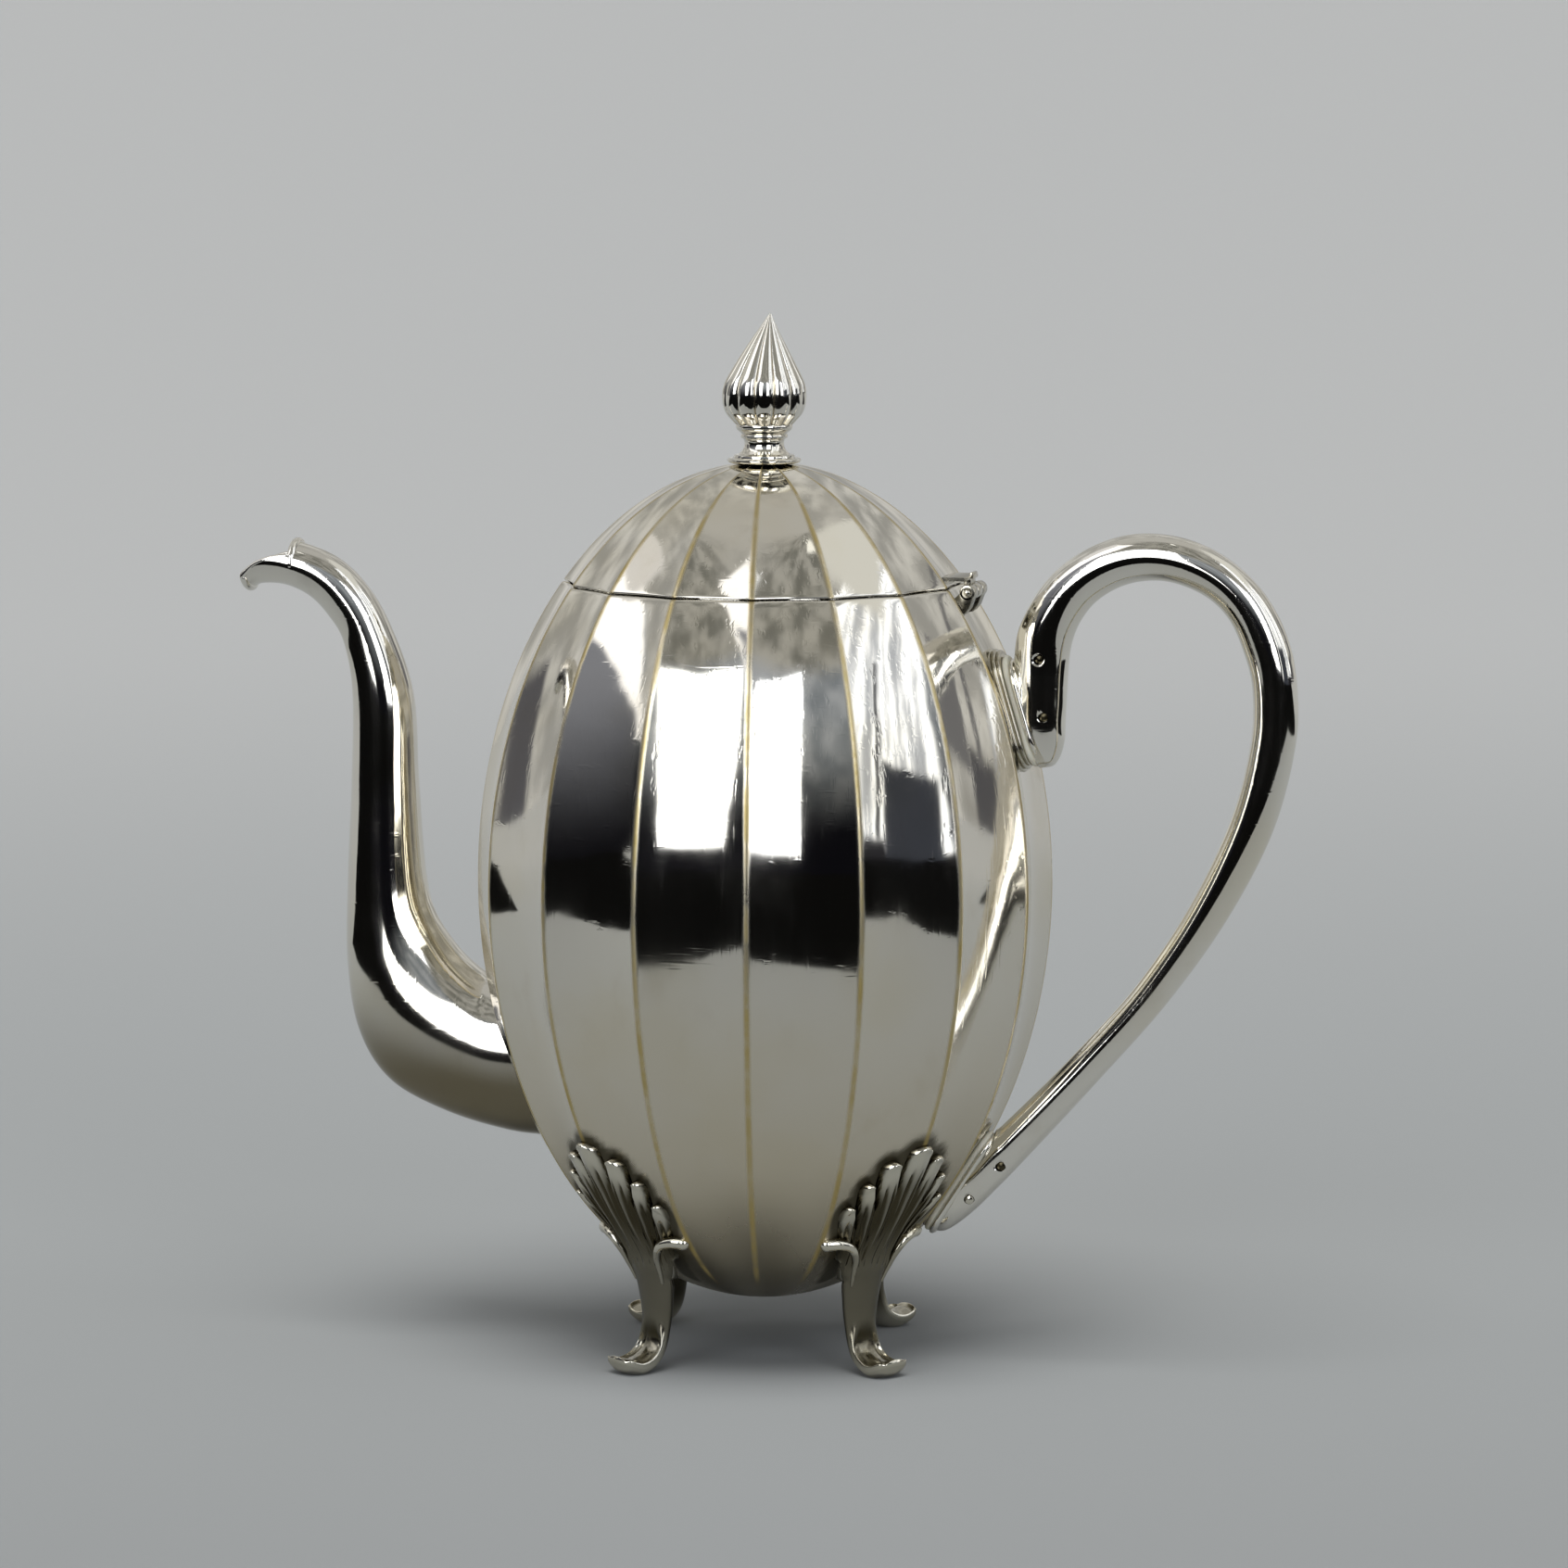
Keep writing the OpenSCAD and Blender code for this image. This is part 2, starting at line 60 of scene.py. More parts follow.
# ---- shapes shared with the CAD
FLUTES = 16
FLUTE_DEG = 360 / FLUTES
FLUTE_DEPTH = 0.038     # in the middle of a flute, as a share of the radius
FADE_Z = (17.0, 31.0)   # the flutes run out downwards between these heights
BODY_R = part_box("body_shell")[1].y / MM / math.cos(math.radians(FLUTE_DEG / 2))
EGG_HALF_H = 88.5
EGG_Z = 100.5           # height of the egg's middle
SHEET = 0.9
SEAM_Z = top_mm("body_shell")
LID_Z = low_mm("lid_shell")


def smoothstep(t):
    c = np.clip(t, 0, 1)
    return c * c * (3 - 2 * c)


def egg_r(z, inset=0.0):
    half = EGG_HALF_H - inset
    return (BODY_R - inset) * np.sqrt(np.maximum(0, 1 - ((z - EGG_Z) / half) ** 2))


CREST = 0.05            # rounded part of a ridge, as a share of half a flute


def flute_share(u, z):
    """Share of the ridge radius at u, -1 to 1 across a flute, with the ridges' crests rounded."""
    a = np.abs(u)
    f = a * a - np.maximum(0, a - (1 - CREST)) ** 2 / CREST
    return 1 - FLUTE_DEPTH * (1 - f) * smoothstep((z - FADE_Z[0]) / (FADE_Z[1] - FADE_Z[0]))


def flute_u(deg):
    q = deg / FLUTE_DEG
    return 2 * (q - np.round(q))


def body_x(y, z, inset=0.0):
    """Distance of the body's surface from the plane x = 0, near the spout and the handle."""
    r = egg_r(z, inset)
    deg = np.degrees(np.arcsin(np.clip(np.abs(y) / r, 0, 1)))
    f = r * flute_share(flute_u(deg), z)
    return np.sqrt(np.maximum(0, f * f - y * y))


def along(points, t):
    """Points at the parameters t on the smooth curve through a list; t counts list entries."""
    p = np.asarray(points, float)
    t = np.atleast_1d(np.asarray(t, float))
    n = len(p)
    i = np.clip(np.floor(t).astype(int), 0, n - 2)
    u = (t - i)[:, None]
    b, c = p[i], p[i + 1]
    a = np.where((i > 0)[:, None], p[np.maximum(i - 1, 0)], 2 * b - c)
    d = np.where((i < n - 2)[:, None], p[np.minimum(i + 2, n - 1)], 2 * c - b)
    return 0.5 * (2 * b + (c - a) * u + (2 * a - 5 * b + 4 * c - d) * u ** 2
                  + (3 * b - a - 3 * c + d) * u ** 3)


# ---- mesh helpers
def new_mesh(name, verts, faces, sharp=None):
    mesh = bpy.data.meshes.new(name)
    mesh.from_pydata([tuple(v) for v in np.asarray(verts, float) * MM], [], faces)
    shell = bmesh.new()
    shell.from_mesh(mesh)
    bmesh.ops.recalc_face_normals(shell, faces=shell.faces)
    shell.to_mesh(mesh)
    shell.free()
    obj = bpy.data.objects.new(name, mesh)
    bpy.context.scene.collection.objects.link(obj)
    return smooth(obj, sharp)


def smooth(obj, sharp=None):
    mesh = obj.data
    mesh.shade_smooth()
    if sharp is not None:
        mesh.set_sharp_from_angle(angle=math.radians(sharp))
    return obj


def ring_angles(sides):
    return np.radians(np.arange(sides) * 360 / sides)


def ring_faces(rows, cols, loop_rows=False):
    i, j = np.meshgrid(np.arange(rows if loop_rows else rows - 1), np.arange(cols), indexing="ij")
    a = i * cols + j
    b = i * cols + (j + 1) % cols
    c = ((i + 1) % rows) * cols + (j + 1) % cols
    d = ((i + 1) % rows) * cols + j
    quads = np.stack([a, b, c, d], -1).reshape(-1, 4)
    return [tuple(map(int, q)) for q in quads]


def skin(name, rings, loop=False, start_cap=True, sharp=None):
    """Surface over an array of rings (rows, columns, 3), capped at the ends unless it is a loop."""
    rows, cols = rings.shape[:2]
    faces = ring_faces(rows, cols, loop)
    if start_cap and not loop:
        faces.append(tuple(range(cols))[::-1])
    if not loop:
        faces.append(tuple(range((rows - 1) * cols, rows * cols)))
    return new_mesh(name, rings.reshape(-1, 3), faces, sharp)


def lathe(name, profile, sides=128, sharp=35):
    """Solid of revolution from an open outline (radius, height) that starts and ends on the axis."""
    p = np.asarray(profile, float)
    a = ring_angles(sides)
    rings = np.stack([p[:, None, 0] * np.cos(a), p[:, None, 0] * np.sin(a),
                      np.repeat(p[:, 1:2], sides, 1)], -1)
    return skin(name, rings, sharp=sharp)


def tube(name, path, radii, sides=16):
    """Round wire along a path, with a radius for each point, and rounded ends."""
    p = np.asarray(path, float)
    r = np.broadcast_to(np.asarray(radii, float), (len(p),)).copy()
    tangent = np.gradient(p, axis=0)
    tangent /= np.linalg.norm(tangent, axis=1, keepdims=True)
    normal = np.cross(tangent[0], (0.3, 0.9, 0.2))
    normal /= np.linalg.norm(normal)
    frames = []
    for t in tangent:
        normal = normal - t * np.dot(normal, t)
        normal /= np.linalg.norm(normal)
        frames.append((normal, np.cross(t, normal)))
    steps = np.radians([80, 60, 40, 20])
    head = [(p[0] - tangent[0] * r[0] * math.sin(s), r[0] * math.cos(s), frames[0]) for s in steps]
    tail = [(p[-1] + tangent[-1] * r[-1] * math.sin(s), r[-1] * math.cos(s), frames[-1])
            for s in steps[::-1]]
    rows = head + list(zip(p, r, frames)) + tail
    a = ring_angles(sides)
    rings = np.array([[c + rad * (math.cos(q) * n + math.sin(q) * m) for q in a]
                      for c, rad, (n, m) in rows])
    return skin(name, rings)


def cut(obj, cutter, sharp=35):
    """Takes cutter away from obj, and removes cutter."""
    mod = obj.modifiers.new("cut", "BOOLEAN")
    mod.operation = "DIFFERENCE"
    mod.solver = "EXACT"
    mod.object = cutter
    graph = bpy.context.evaluated_depsgraph_get()
    mesh = bpy.data.meshes.new_from_object(obj.evaluated_get(graph))
    obj.modifiers.clear()
    obj.data = mesh
    bpy.data.objects.remove(cutter)
    return smooth(obj, sharp)


def join(name, objs):
    """One object from several, keeping each one's shading."""
    target = objs[0]
    with bpy.context.temp_override(active_object=target, selected_editable_objects=objs,
                                   object=target, selected_objects=objs):
        bpy.ops.object.join()
    target.name = name
    target.data.name = name
    return target


def point_values(obj, name, values):
    """Stores a number on each vertex for the material to read."""
    layer = obj.data.attributes.new(name, "FLOAT", "POINT")
    layer.data.foreach_set("value", np.asarray(values, np.float32))


def darkened_all_over(amount, *objs):
    """The same objects as a list, each darkened all over by one amount of tarnish; on the deeply sunk pins
    it is painted shade.
    """
    for obj in objs:
        point_values(obj, "tarnish_and_shade", np.full(len(obj.data.vertices), amount))
    return list(objs)


# ---- materials
class Nodes:
    """Short way to write a material's or the world's node tree."""

    def __init__(self, tree):
        self.tree = tree
        self.tree.nodes.clear()

    def add(self, kind, **values):
        node = self.tree.nodes.new(kind)
        for key, value in values.items():
            if hasattr(node, key):
                setattr(node, key, value)
            else:
                self.put(node.inputs[key.replace("_", " ")], value)
        return node

    def put(self, socket, value):
        """Links a socket to another, or sets it; a colour of three numbers becomes opaque."""
        if isinstance(value, bpy.types.NodeSocket):
            self.tree.links.new(value, socket)
        elif isinstance(value, tuple):
            socket.default_value = (*value, 1.0)
        else:
            socket.default_value = value

    def math(self, op, a, b=0.0):
        node = self.add("ShaderNodeMath", operation=op)
        for socket, value in zip(node.inputs, (a, b)):
            self.put(socket, value)
        return node.outputs[0]

    def times(self, a, b):
        return self.math("MULTIPLY", a, b)

    def ramp(self, value, low, high, to=(0.0, 1.0)):
        node = self.add("ShaderNodeMapRange", interpolation_type="SMOOTHSTEP")
        for socket, v in zip(node.inputs, (value, low, high, to[0], to[1])):
            self.put(socket, v)
        return node.outputs[0]

    def mix(self, factor, a, b):
        node = self.add("ShaderNodeMix", data_type="RGBA")
        self.put(node.inputs[0], factor)
        self.put(node.inputs[6], a)
        self.put(node.inputs[7], b)
        return node.outputs[2]

    def noise(self, vector, scale, detail=4.0, rough=0.55):
        node = self.add("ShaderNodeTexNoise", Scale=scale, Detail=detail, Roughness=rough)
        self.put(node.inputs["Vector"], vector)
        return node.outputs[0]

    def stretched(self, vector, scale, turn=(0, 0, 0)):
        node = self.add("ShaderNodeMapping")
        self.put(node.inputs["Vector"], vector)
        node.inputs["Scale"].default_value = scale
        node.inputs["Rotation"].default_value = turn
        return node.outputs[0]


def new_material(name, kind="ShaderNodeBsdfPrincipled", **values):
    """Material with one shader, joined to its output."""
    mat = bpy.data.materials.new(name)
    mat.use_nodes = True
    n = Nodes(mat.node_tree)
    out = n.add("ShaderNodeOutputMaterial")
    shader = n.add(kind, **values)
    n.put(out.inputs["Surface"], shader.outputs[0])
    return mat, n, shader


def silver_material(name, colour, stain, rough=0.06, wave=0.25, scratch=0.5, grime=0.0,
                    worn_crests=False):
    """Polished silver: hammered-out unevenness, fine scratches, and tarnish and painted shade where the mesh
    says so.

    With worn_crests the mesh also says where its ridges have lost their polish and gone golden, and where
    painted shade with some soot lies round the feet's leaves and under the body.
    """
    mat, n, shader = new_material(name, Metallic=1.0)
    place = n.add("ShaderNodeTexCoord").outputs["Object"]
    cloud = n.noise(place, 26.0, 3.0)
    blotch = n.noise(n.stretched(place, (1.0, 1.0, 0.6)), 70.0, 5.0, 0.6)
    warm = tuple(c * s for c, s in zip(colour, (0.96, 0.94, 0.88)))
    tone = n.mix(n.ramp(cloud, 0.42, 0.68), colour, warm)
    tone = n.mix(n.times(n.ramp(blotch, 0.55, 0.8), 0.3 + grime), tone, stain)
    # the mesh's tarnish value: real tarnish, and also painted shade under the spout, at the feet's leaves
    # and on the sunk pins
    mark = n.add("ShaderNodeAttribute", attribute_name="tarnish_and_shade").outputs["Fac"]
    tone = n.mix(mark, tone, stain)
    scratches = n.noise(n.stretched(place, (900.0, 900.0, 40.0), (0.3, 0.2, 0.0)), 1.0, 2.0)
    cross = n.noise(n.stretched(place, (60.0, 500.0, 700.0), (0.5, 0.9, 0.4)), 1.0, 2.0)
    wear = n.math("ADD", n.ramp(scratches, 0.55, 0.8), n.ramp(cross, 0.58, 0.85))
    rough_map = n.math("ADD", n.ramp(blotch, 0.3, 0.8, (rough * 0.7, rough * 1.9)),
                       n.times(wear, 0.035 * scratch))
    rough_map = n.math("ADD", rough_map, n.times(mark, 0.12))
    if worn_crests:
        # painted shade with some soot: a band round each foot's leaf and patches under the body
        soot_and_shade = n.add("ShaderNodeAttribute", attribute_name="soot_and_shade").outputs["Fac"]
        tone = n.mix(soot_and_shade, tone, SOOT_AND_SHADE)
        rough_map = n.math("ADD", rough_map, n.times(soot_and_shade, 0.35))
        crest = n.add("ShaderNodeAttribute", attribute_name="crest").outputs["Fac"]
        patchy = n.times(crest, n.ramp(n.noise(place, 180.0, 3.0), 0.25, 0.6, (0.55, 1.0)))
        tone = n.mix(patchy, tone, GOLDEN)
        rough_map = n.math("ADD", rough_map, n.times(patchy, 0.42))
    n.put(shader.inputs["Base Color"], tone)
    n.put(shader.inputs["Roughness"], rough_map)
    fine = n.add("ShaderNodeBump", Strength=0.06 * scratch, Distance=0.0002)
    n.put(fine.inputs["Height"], wear)
    broad = n.add("ShaderNodeBump", Strength=wave, Distance=0.0006)
    n.put(broad.inputs["Height"], n.noise(place, 55.0, 2.0, 0.4))
    n.put(broad.inputs["Normal"], fine.outputs[0])
    n.put(shader.inputs["Normal"], broad.outputs[0])
    return mat


SILVER = (0.84, 0.815, 0.745)
GOLDEN = (0.50, 0.395, 0.16)
BROWN = (0.56, 0.49, 0.35)
# dark of soot and of painted shade
SOOT_AND_SHADE = (0.07, 0.06, 0.035)
DULL = (0.74, 0.71, 0.62)
CAST = (0.68, 0.65, 0.55)
body_silver = silver_material("body_silver", SILVER, BROWN, 0.045, 0.22, 0.6, worn_crests=True)
plain_silver = silver_material("plain_silver", SILVER, BROWN, 0.06, 0.18, 0.8)
dull_silver = silver_material("dull_silver", DULL, (0.16, 0.14, 0.09), 0.12, 0.2, 1.0, 0.4)
# the spout's dark stain also paints the shade under its root
spout_silver = silver_material("spout_silver", SILVER, (0.17, 0.14, 0.08), 0.05, 0.2, 0.7)
# its dark stain also paints the shade at the leaves' edges and backs and on the sunk pins
foot_silver = silver_material("foot_silver", CAST, SOOT_AND_SHADE, 0.09, 0.3, 1.0)


def bone_material():
    mat, n, shader = new_material("bone_insulator", Roughness=0.42)
    shader.inputs["Subsurface Weight"].default_value = 0.1
    place = n.add("ShaderNodeTexCoord").outputs["Object"]
    grain = n.noise(n.stretched(place, (300.0, 300.0, 60.0)), 1.0, 4.0)
    tone = n.mix(n.ramp(grain, 0.35, 0.75), (0.74, 0.69, 0.56), (0.56, 0.49, 0.35))
    n.put(shader.inputs["Base Color"], tone)
    bump = n.add("ShaderNodeBump", Strength=0.2, Distance=0.0002)
    n.put(bump.inputs["Height"], grain)
    n.put(shader.inputs["Normal"], bump.outputs[0])
    return mat


bone = bone_material()


def dress(obj, material, slot, body, *nodes):
    """Gives a new piece its material and body, and hides the CAD nodes that it stands for; slot is not used.
    """
    obj.data.materials.clear()
    obj.data.materials.append(material)
    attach(obj, body)
    for node in nodes:
        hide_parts(node)
    return obj


def dress_cad(node, material):
    """Keeps a CAD node and gives it smooth shading and a better material."""
    obj = smooth(CAD[node], 30)
    if not obj.data.materials:
        obj.data.materials.append(material)
    for i in range(len(obj.data.materials)):
        obj.data.materials[i] = material


# ---- outline of the feet's leaves
# Leg from the leaf to the toe, in the foot's upright plane: back edge, front edge, half width
LEG = [(37.9, 30.8, 41, 33, 4.6), (32.6, 25, 37.6, 27.3, 5.2), (28.2, 19.6, 34.2, 21.2, 5.2),
       (27.8, 14.5, 32.6, 15.3, 4.6), (28.2, 9.3, 32.2, 10.3, 4), (29.6, 3.9, 33.2, 6.6, 3.9),
       (32.4, 0.7, 35.2, 4.9, 4.1), (36, -0.6, 37.8, 4.4, 4.3), (39.6, 0.4, 40.3, 4.9, 4),
       (41.1, 1.9, 41.4, 4.1, 2.8)]
KNEE = 2.1              # station of the leg where the leaf's ribs run out
LEAF_Z = 14.0           # height of the point that the ribs spread from
LEAF_DEG = 32.5         # half angle of the fan
LEG_FILM = 0.8          # how dark the film on the leg is
LEAF_START = 6.5        # distance from that point to the knee
# Lobes from the middle outwards: middle and half width as angles, length
LOBES_OF_LEAF = [(0, 6.2, 36.8), (10.9, 5.1, 34.4), (19.9, 4.5, 31.0), (27.2, 4.0, 27.3)]
SLOT_DEPTH = 3.0
# Heights and distances outwards of the leaf's middle line
LEAF_LINE = [(12, 32.3), (15.3, 32.6), (21.2, 34.2), (27.3, 37.6), (33, 41.1), (38, 44.5), (44, 48.2),
             (51, 51.8)]
TIP_ROUND = 3.7         # how far a lobe's tip falls back at its sides


def lobe_place(deg):
    """For angles across the leaf: place within the lobe, -1 to 1, its length, and the next slot."""
    a = np.abs(deg)
    lobes = np.array(LOBES_OF_LEAF)
    edges = np.append((lobes[:-1, 0] + lobes[:-1, 1] + lobes[1:, 0] - lobes[1:, 1]) / 2, LEAF_DEG)
    k = np.clip(np.searchsorted(edges, a), 0, len(lobes) - 1)
    low = np.where(k == 0, -edges[0], edges[np.maximum(k - 1, 0)])
    x = np.clip(2 * (a - low) / (edges[k] - low) - 1, -1, 1)
    gap = np.min(np.abs(a[..., None] - edges[:-1]), axis=-1)
    return x, lobes[k, 2], gap


def leaf_length(deg):
    x, length, gap = lobe_place(deg)
    tip = length - TIP_ROUND * (1 - np.sqrt(np.maximum(0, 1 - x ** 2)))
    return tip - SLOT_DEPTH * np.exp(-(gap / 0.6) ** 2)


def softer_max(a, b):
    return 0.5 * (a + b + np.sqrt((a - b) ** 2 + 0.64))


def leaf_front(side, z, reach):
    """Distance outwards of the leaf's smooth envelope; reach is the fan's half width there."""
    line = np.array(LEAF_LINE)
    crest = sum(np.interp(z + step, line[:, 0], line[:, 1]) for step in (0, -2, 2)) / 3
    round_x = np.sqrt(np.maximum(egg_r(z) ** 2 - side ** 2, 0))
    drop = 2.4 + 2.6 * smoothstep((z - 22) / 8)
    on_body = 0.25 * round_x + 0.75 * wall_front(side, z) + 0.55
    crest -= 1.6 * smoothstep((z - 34) / 12)
    return softer_max(on_body, crest - drop * (side / reach) ** 2)


def wall_front(side, z):
    """Distance outwards of the fluted body, where a foot stands on one of its ridges."""
    deg = np.degrees(np.arcsin(np.clip(np.abs(side) / np.maximum(egg_r(z), 1), 0, 1)))
    r = egg_r(z) * flute_share(1 - 2 * deg / FLUTE_DEG, z)
    return np.sqrt(np.maximum(r ** 2 - side ** 2, 0))


def leaf_outline():
    deg = np.linspace(-LEAF_DEG, LEAF_DEG, 900)
    length = leaf_length(deg)
    a = np.radians(deg)
    edge = np.stack([length * np.sin(a), LEAF_Z + length * np.cos(a)], -1)
    steps = np.linspace(0, 1, 60)[:, None]
    foot_side = LEAF_START * np.array([math.sin(a[0]), math.cos(a[0])]) + (0, LEAF_Z)
    down = edge[0] + (foot_side - edge[0]) * steps
    return np.concatenate([down[::-1], edge, down * (-1, 1)])


def distance_to(outline, x, z):
    """Distance from points to a dense outline, in slices that keep memory small."""
    flat = np.stack([x.ravel(), z.ravel()], -1)
    out = [np.sqrt(((part[:, None] - outline[None]) ** 2).sum(-1)).min(1)
           for part in np.array_split(flat, max(1, len(flat) // 2000))]
    return np.concatenate(out).reshape(x.shape)


FOOT_DEGS = {"front_left": -123.75, "front_right": -33.75, "rear_right": 56.25, "rear_left": 146.25}

# ---- fluted body and lid
# Columns of the mesh across half a flute, closest together at the ridge
HALF_U = np.array([0, 0.14, 0.28, 0.42, 0.55, 0.66, 0.75, 0.82, 0.875, 0.915, 0.945, 0.962, 0.975,
                   0.988, 1.0])
FLUTE_U = np.concatenate([-HALF_U[:0:-1], HALF_U[:-1]])
COLUMN_U = np.tile(FLUTE_U, FLUTES)
COLUMN_DEG = (np.repeat(np.arange(FLUTES), len(FLUTE_U)) * FLUTE_DEG + COLUMN_U * FLUTE_DEG / 2)
ROLL = 0.45             # radius of the rounded edges at the seam
POUR_R = 7.5
POUR_Z = 62.0


def fluted_rings(z_values, inset, edge_in=None):
    """Rings of the fluted egg at heights; edge_in gives a further inward step for each ring."""
    z = np.asarray(z_values, float)[:, None]
    step = np.zeros_like(z) if edge_in is None else np.asarray(edge_in, float)[:, None]
    r = egg_r(z, inset) * flute_share(COLUMN_U[None, :], z) - step
    a = np.radians(COLUMN_DEG)[None, :]
    return np.stack([r * np.cos(a), r * np.sin(a), np.broadcast_to(z, r.shape)], -1)


def latitudes(z_low, z_high, rows, inset=0.0):
    """Heights for rows that are evenly spaced round the egg's outline."""
    half = EGG_HALF_H - inset
    t = np.linspace(math.acos((EGG_Z - z_low) / half), math.acos((EGG_Z - z_high) / half), rows)
    return EGG_Z - half * np.cos(t)


def rolled_edge(z_edge, direction):
    """Heights and inward steps of the rounding at an edge, going towards the edge."""
    q = np.radians(np.array([15, 30, 45, 60, 75, 90]))
    return z_edge - direction * ROLL * (1 - np.sin(q)), ROLL * (1 - np.cos(q))


def mark_ridges(obj):
    """Marks the ridges' worn crests, the brown film low down, and painted shade with some soot at the bottom
    and round the leaves.
    """
    x, y, z = (np.array([v.co for v in obj.data.vertices]) / MM).T
    deg = np.degrees(np.arctan2(y, x)) % 360
    off = (1 - np.abs(flute_u(deg))) * np.radians(FLUTE_DEG / 2) * np.hypot(x, y)
    wobble = 0.85 + 0.15 * np.sin(z * 0.21 + deg * 0.35) * np.sin(z * 0.083 + 1.7 + deg * 0.11)
    narrow = np.clip(np.hypot(x, y) / 30, 0.25, 1)
    line = np.exp(-(off / (0.62 * narrow)) ** 4) * wobble * smoothstep((z - FADE_Z[0]) / 6)
    point_values(obj, "crest", np.clip(line, 0, 1))
    point_values(obj, "tarnish_and_shade", 0.12 + 0.75 * smoothstep((100 - z) / 80))
    soot_and_shade = np.zeros(len(z))
    # painted contact shade, with some soot, in a band round each foot's leaf
    outline = leaf_outline()
    for foot_deg in FOOT_DEGS.values():
        turn = np.radians(deg - foot_deg)
        near = (np.cos(turn) > 0.85) & (z < 60)
        side = np.hypot(x, y) * np.sin(turn)
        gap = distance_to(outline, side[near], z[near])
        soot_and_shade[near] = np.maximum(soot_and_shade[near], 0.95 * np.exp(-(np.maximum(gap - 1.2, 0) / 1.0) ** 2))
    # painted shade in patches low under the body
    patches = 0.65 + 0.35 * np.sin(np.radians(deg) * 7 + z * 0.09) * np.sin(np.radians(deg) * 3 + 1.0)
    soot_and_shade = np.maximum(soot_and_shade, 0.85 * patches * smoothstep((51 - z) / 27))
    point_values(obj, "soot_and_shade", soot_and_shade)


def build_body():
    bottom = low_mm("body_shell")
    rows = 150
    edge_z, edge_in = rolled_edge(SEAM_Z, 1)
    outer_z = np.concatenate([latitudes(bottom, SEAM_Z - ROLL, rows), edge_z])
    outer = fluted_rings(outer_z, 0.0, np.concatenate([np.zeros(rows), edge_in]))
    inner = fluted_rings(latitudes(bottom + SHEET, SEAM_Z, 40, SHEET)[::-1], SHEET)
    return skin("body", np.concatenate([outer, inner]), sharp=50)


def build_lid():
    crown = top_mm("lid_shell")
    rows = 90
    edge_z, edge_in = rolled_edge(LID_Z, -1)
    outer_z = np.concatenate([edge_z[::-1], latitudes(LID_Z + ROLL, crown, rows)])
    outer = fluted_rings(outer_z, 0.0, np.concatenate([edge_in[::-1], np.zeros(rows)]))
    inner = fluted_rings(latitudes(LID_Z, crown - SHEET, 40, SHEET)[::-1], SHEET)
    return skin("lid", np.concatenate([inner, outer]), sharp=50)


def cut_pour_hole(obj):
    """Round hole from the body into the spout's root."""
    length = 30
    hole = lathe("pour_hole", [(0, 0), (POUR_R, 0), (POUR_R, length), (0, length)], 64)
    place = Matrix.Translation(Vector((-BODY_R, 0, POUR_Z)) * MM)
    hole.matrix_world = place @ Matrix.Rotation(math.radians(90), 4, "Y")
    bpy.context.view_layer.update()
    cut(obj, hole, 50)


body = build_body()
mark_ridges(body)
cut_pour_hole(body)
dress(body, body_silver, "silver", "pot", "body_shell")
lid = build_lid()
mark_ridges(lid)
dress(lid, body_silver, "silver", "lid", "lid_shell")

# ---- spout
# Stations of the spout in the plane y = 0: a point on each edge (x, z, x, z) and the half width
SPOUT = [
    (-56.5, 77, -45.5, 44, 13.5), (-61.5, 78.3, -56, 44.8, 13), (-66.5, 82, -70, 48.3, 12.3),
    (-70.5, 86.8, -82.5, 54.5, 11.5), (-73, 91, -89.5, 65, 10.6), (-74.6, 96, -92.1, 80, 9.6),
    (-75.7, 105, -91.9, 99, 8.6), (-76.6, 120, -91, 119, 7.4), (-77.6, 138, -90.7, 138, 6.6),
    (-82.4, 152, -92.6, 148.8, 5.6), (-87.8, 161, -96.2, 154.6, 5.3), (-94.5, 166.9, -100.3, 158.5, 5.3),
    (-103, 170, -105.5, 160.7, 5.6), (-109.5, 170.5, -110.8, 160.9, 5.4), (-115, 167, -113.4, 159.7, 4.4)]
LAST = len(SPOUT) - 1
SPOUT_WALL = 0.9
MOUTH_X = -103.0        # the lip's upper half is cut away beyond this
LIP_EDGE = [(MOUTH_X, 167.4), (-107.5, 166.7), (-111.1, 165.3), (-113.4, 163.4), (-114.6, 161.9)]


def sections(stations, t, sides, inset=0.0):
    """Elliptical sections of a tube; a station is two edge points in the plane y = 0 and a half width."""
    s = along(stations, t)
    mid = (s[:, 0:2] + s[:, 2:4]) / 2
    half = (s[:, 0:2] - s[:, 2:4]) / 2
    k = 1 - inset / np.linalg.norm(half, axis=1, keepdims=True)
    a = ring_angles(sides)
    ca, sa = np.cos(a)[None, :], np.sin(a)[None, :]
    return np.stack([mid[:, :1] + half[:, :1] * k * ca, (s[:, 4:5] - inset) * sa,
                     mid[:, 1:2] + half[:, 1:2] * k * ca], -1)


def spout_rings(inset):
    """Rings of the spout's outer or inner surface, with the root set 0.5 mm into the body's wall."""
    t = np.concatenate([np.linspace(0, 1, 18)[:-1], np.linspace(1, LAST, 200)])
    rings = sections(SPOUT, t, 72, inset)
    root = rings[0].copy()
    root[:, 0] = -body_x(root[:, 1], root[:, 2]) + 0.5
    k = smoothstep(1 - t / 0.4)[:, None, None]
    return rings * (1 - k) + root[None] * k


def build_lip_cutter():
    """Block that takes away the spout's wall above the edge of the lip."""
    tip_x, top_z, half_width = -120, 176, 15
    edge = along(LIP_EDGE, np.linspace(0, len(LIP_EDGE) - 1, 40))
    side = [(x, z) for x, z in edge] + [(tip_x, edge[-1][1]), (tip_x, top_z), (MOUTH_X, top_z)]
    count = len(side)
    verts = [(x, y, z) for y in (-half_width, half_width) for x, z in side]
    faces = [tuple(range(count)), tuple(range(2 * count - 1, count - 1, -1))]
    faces += [(i, i + count, (i + 1) % count + count, (i + 1) % count) for i in range(count)]
    return new_mesh("lip_cutter", verts, faces)


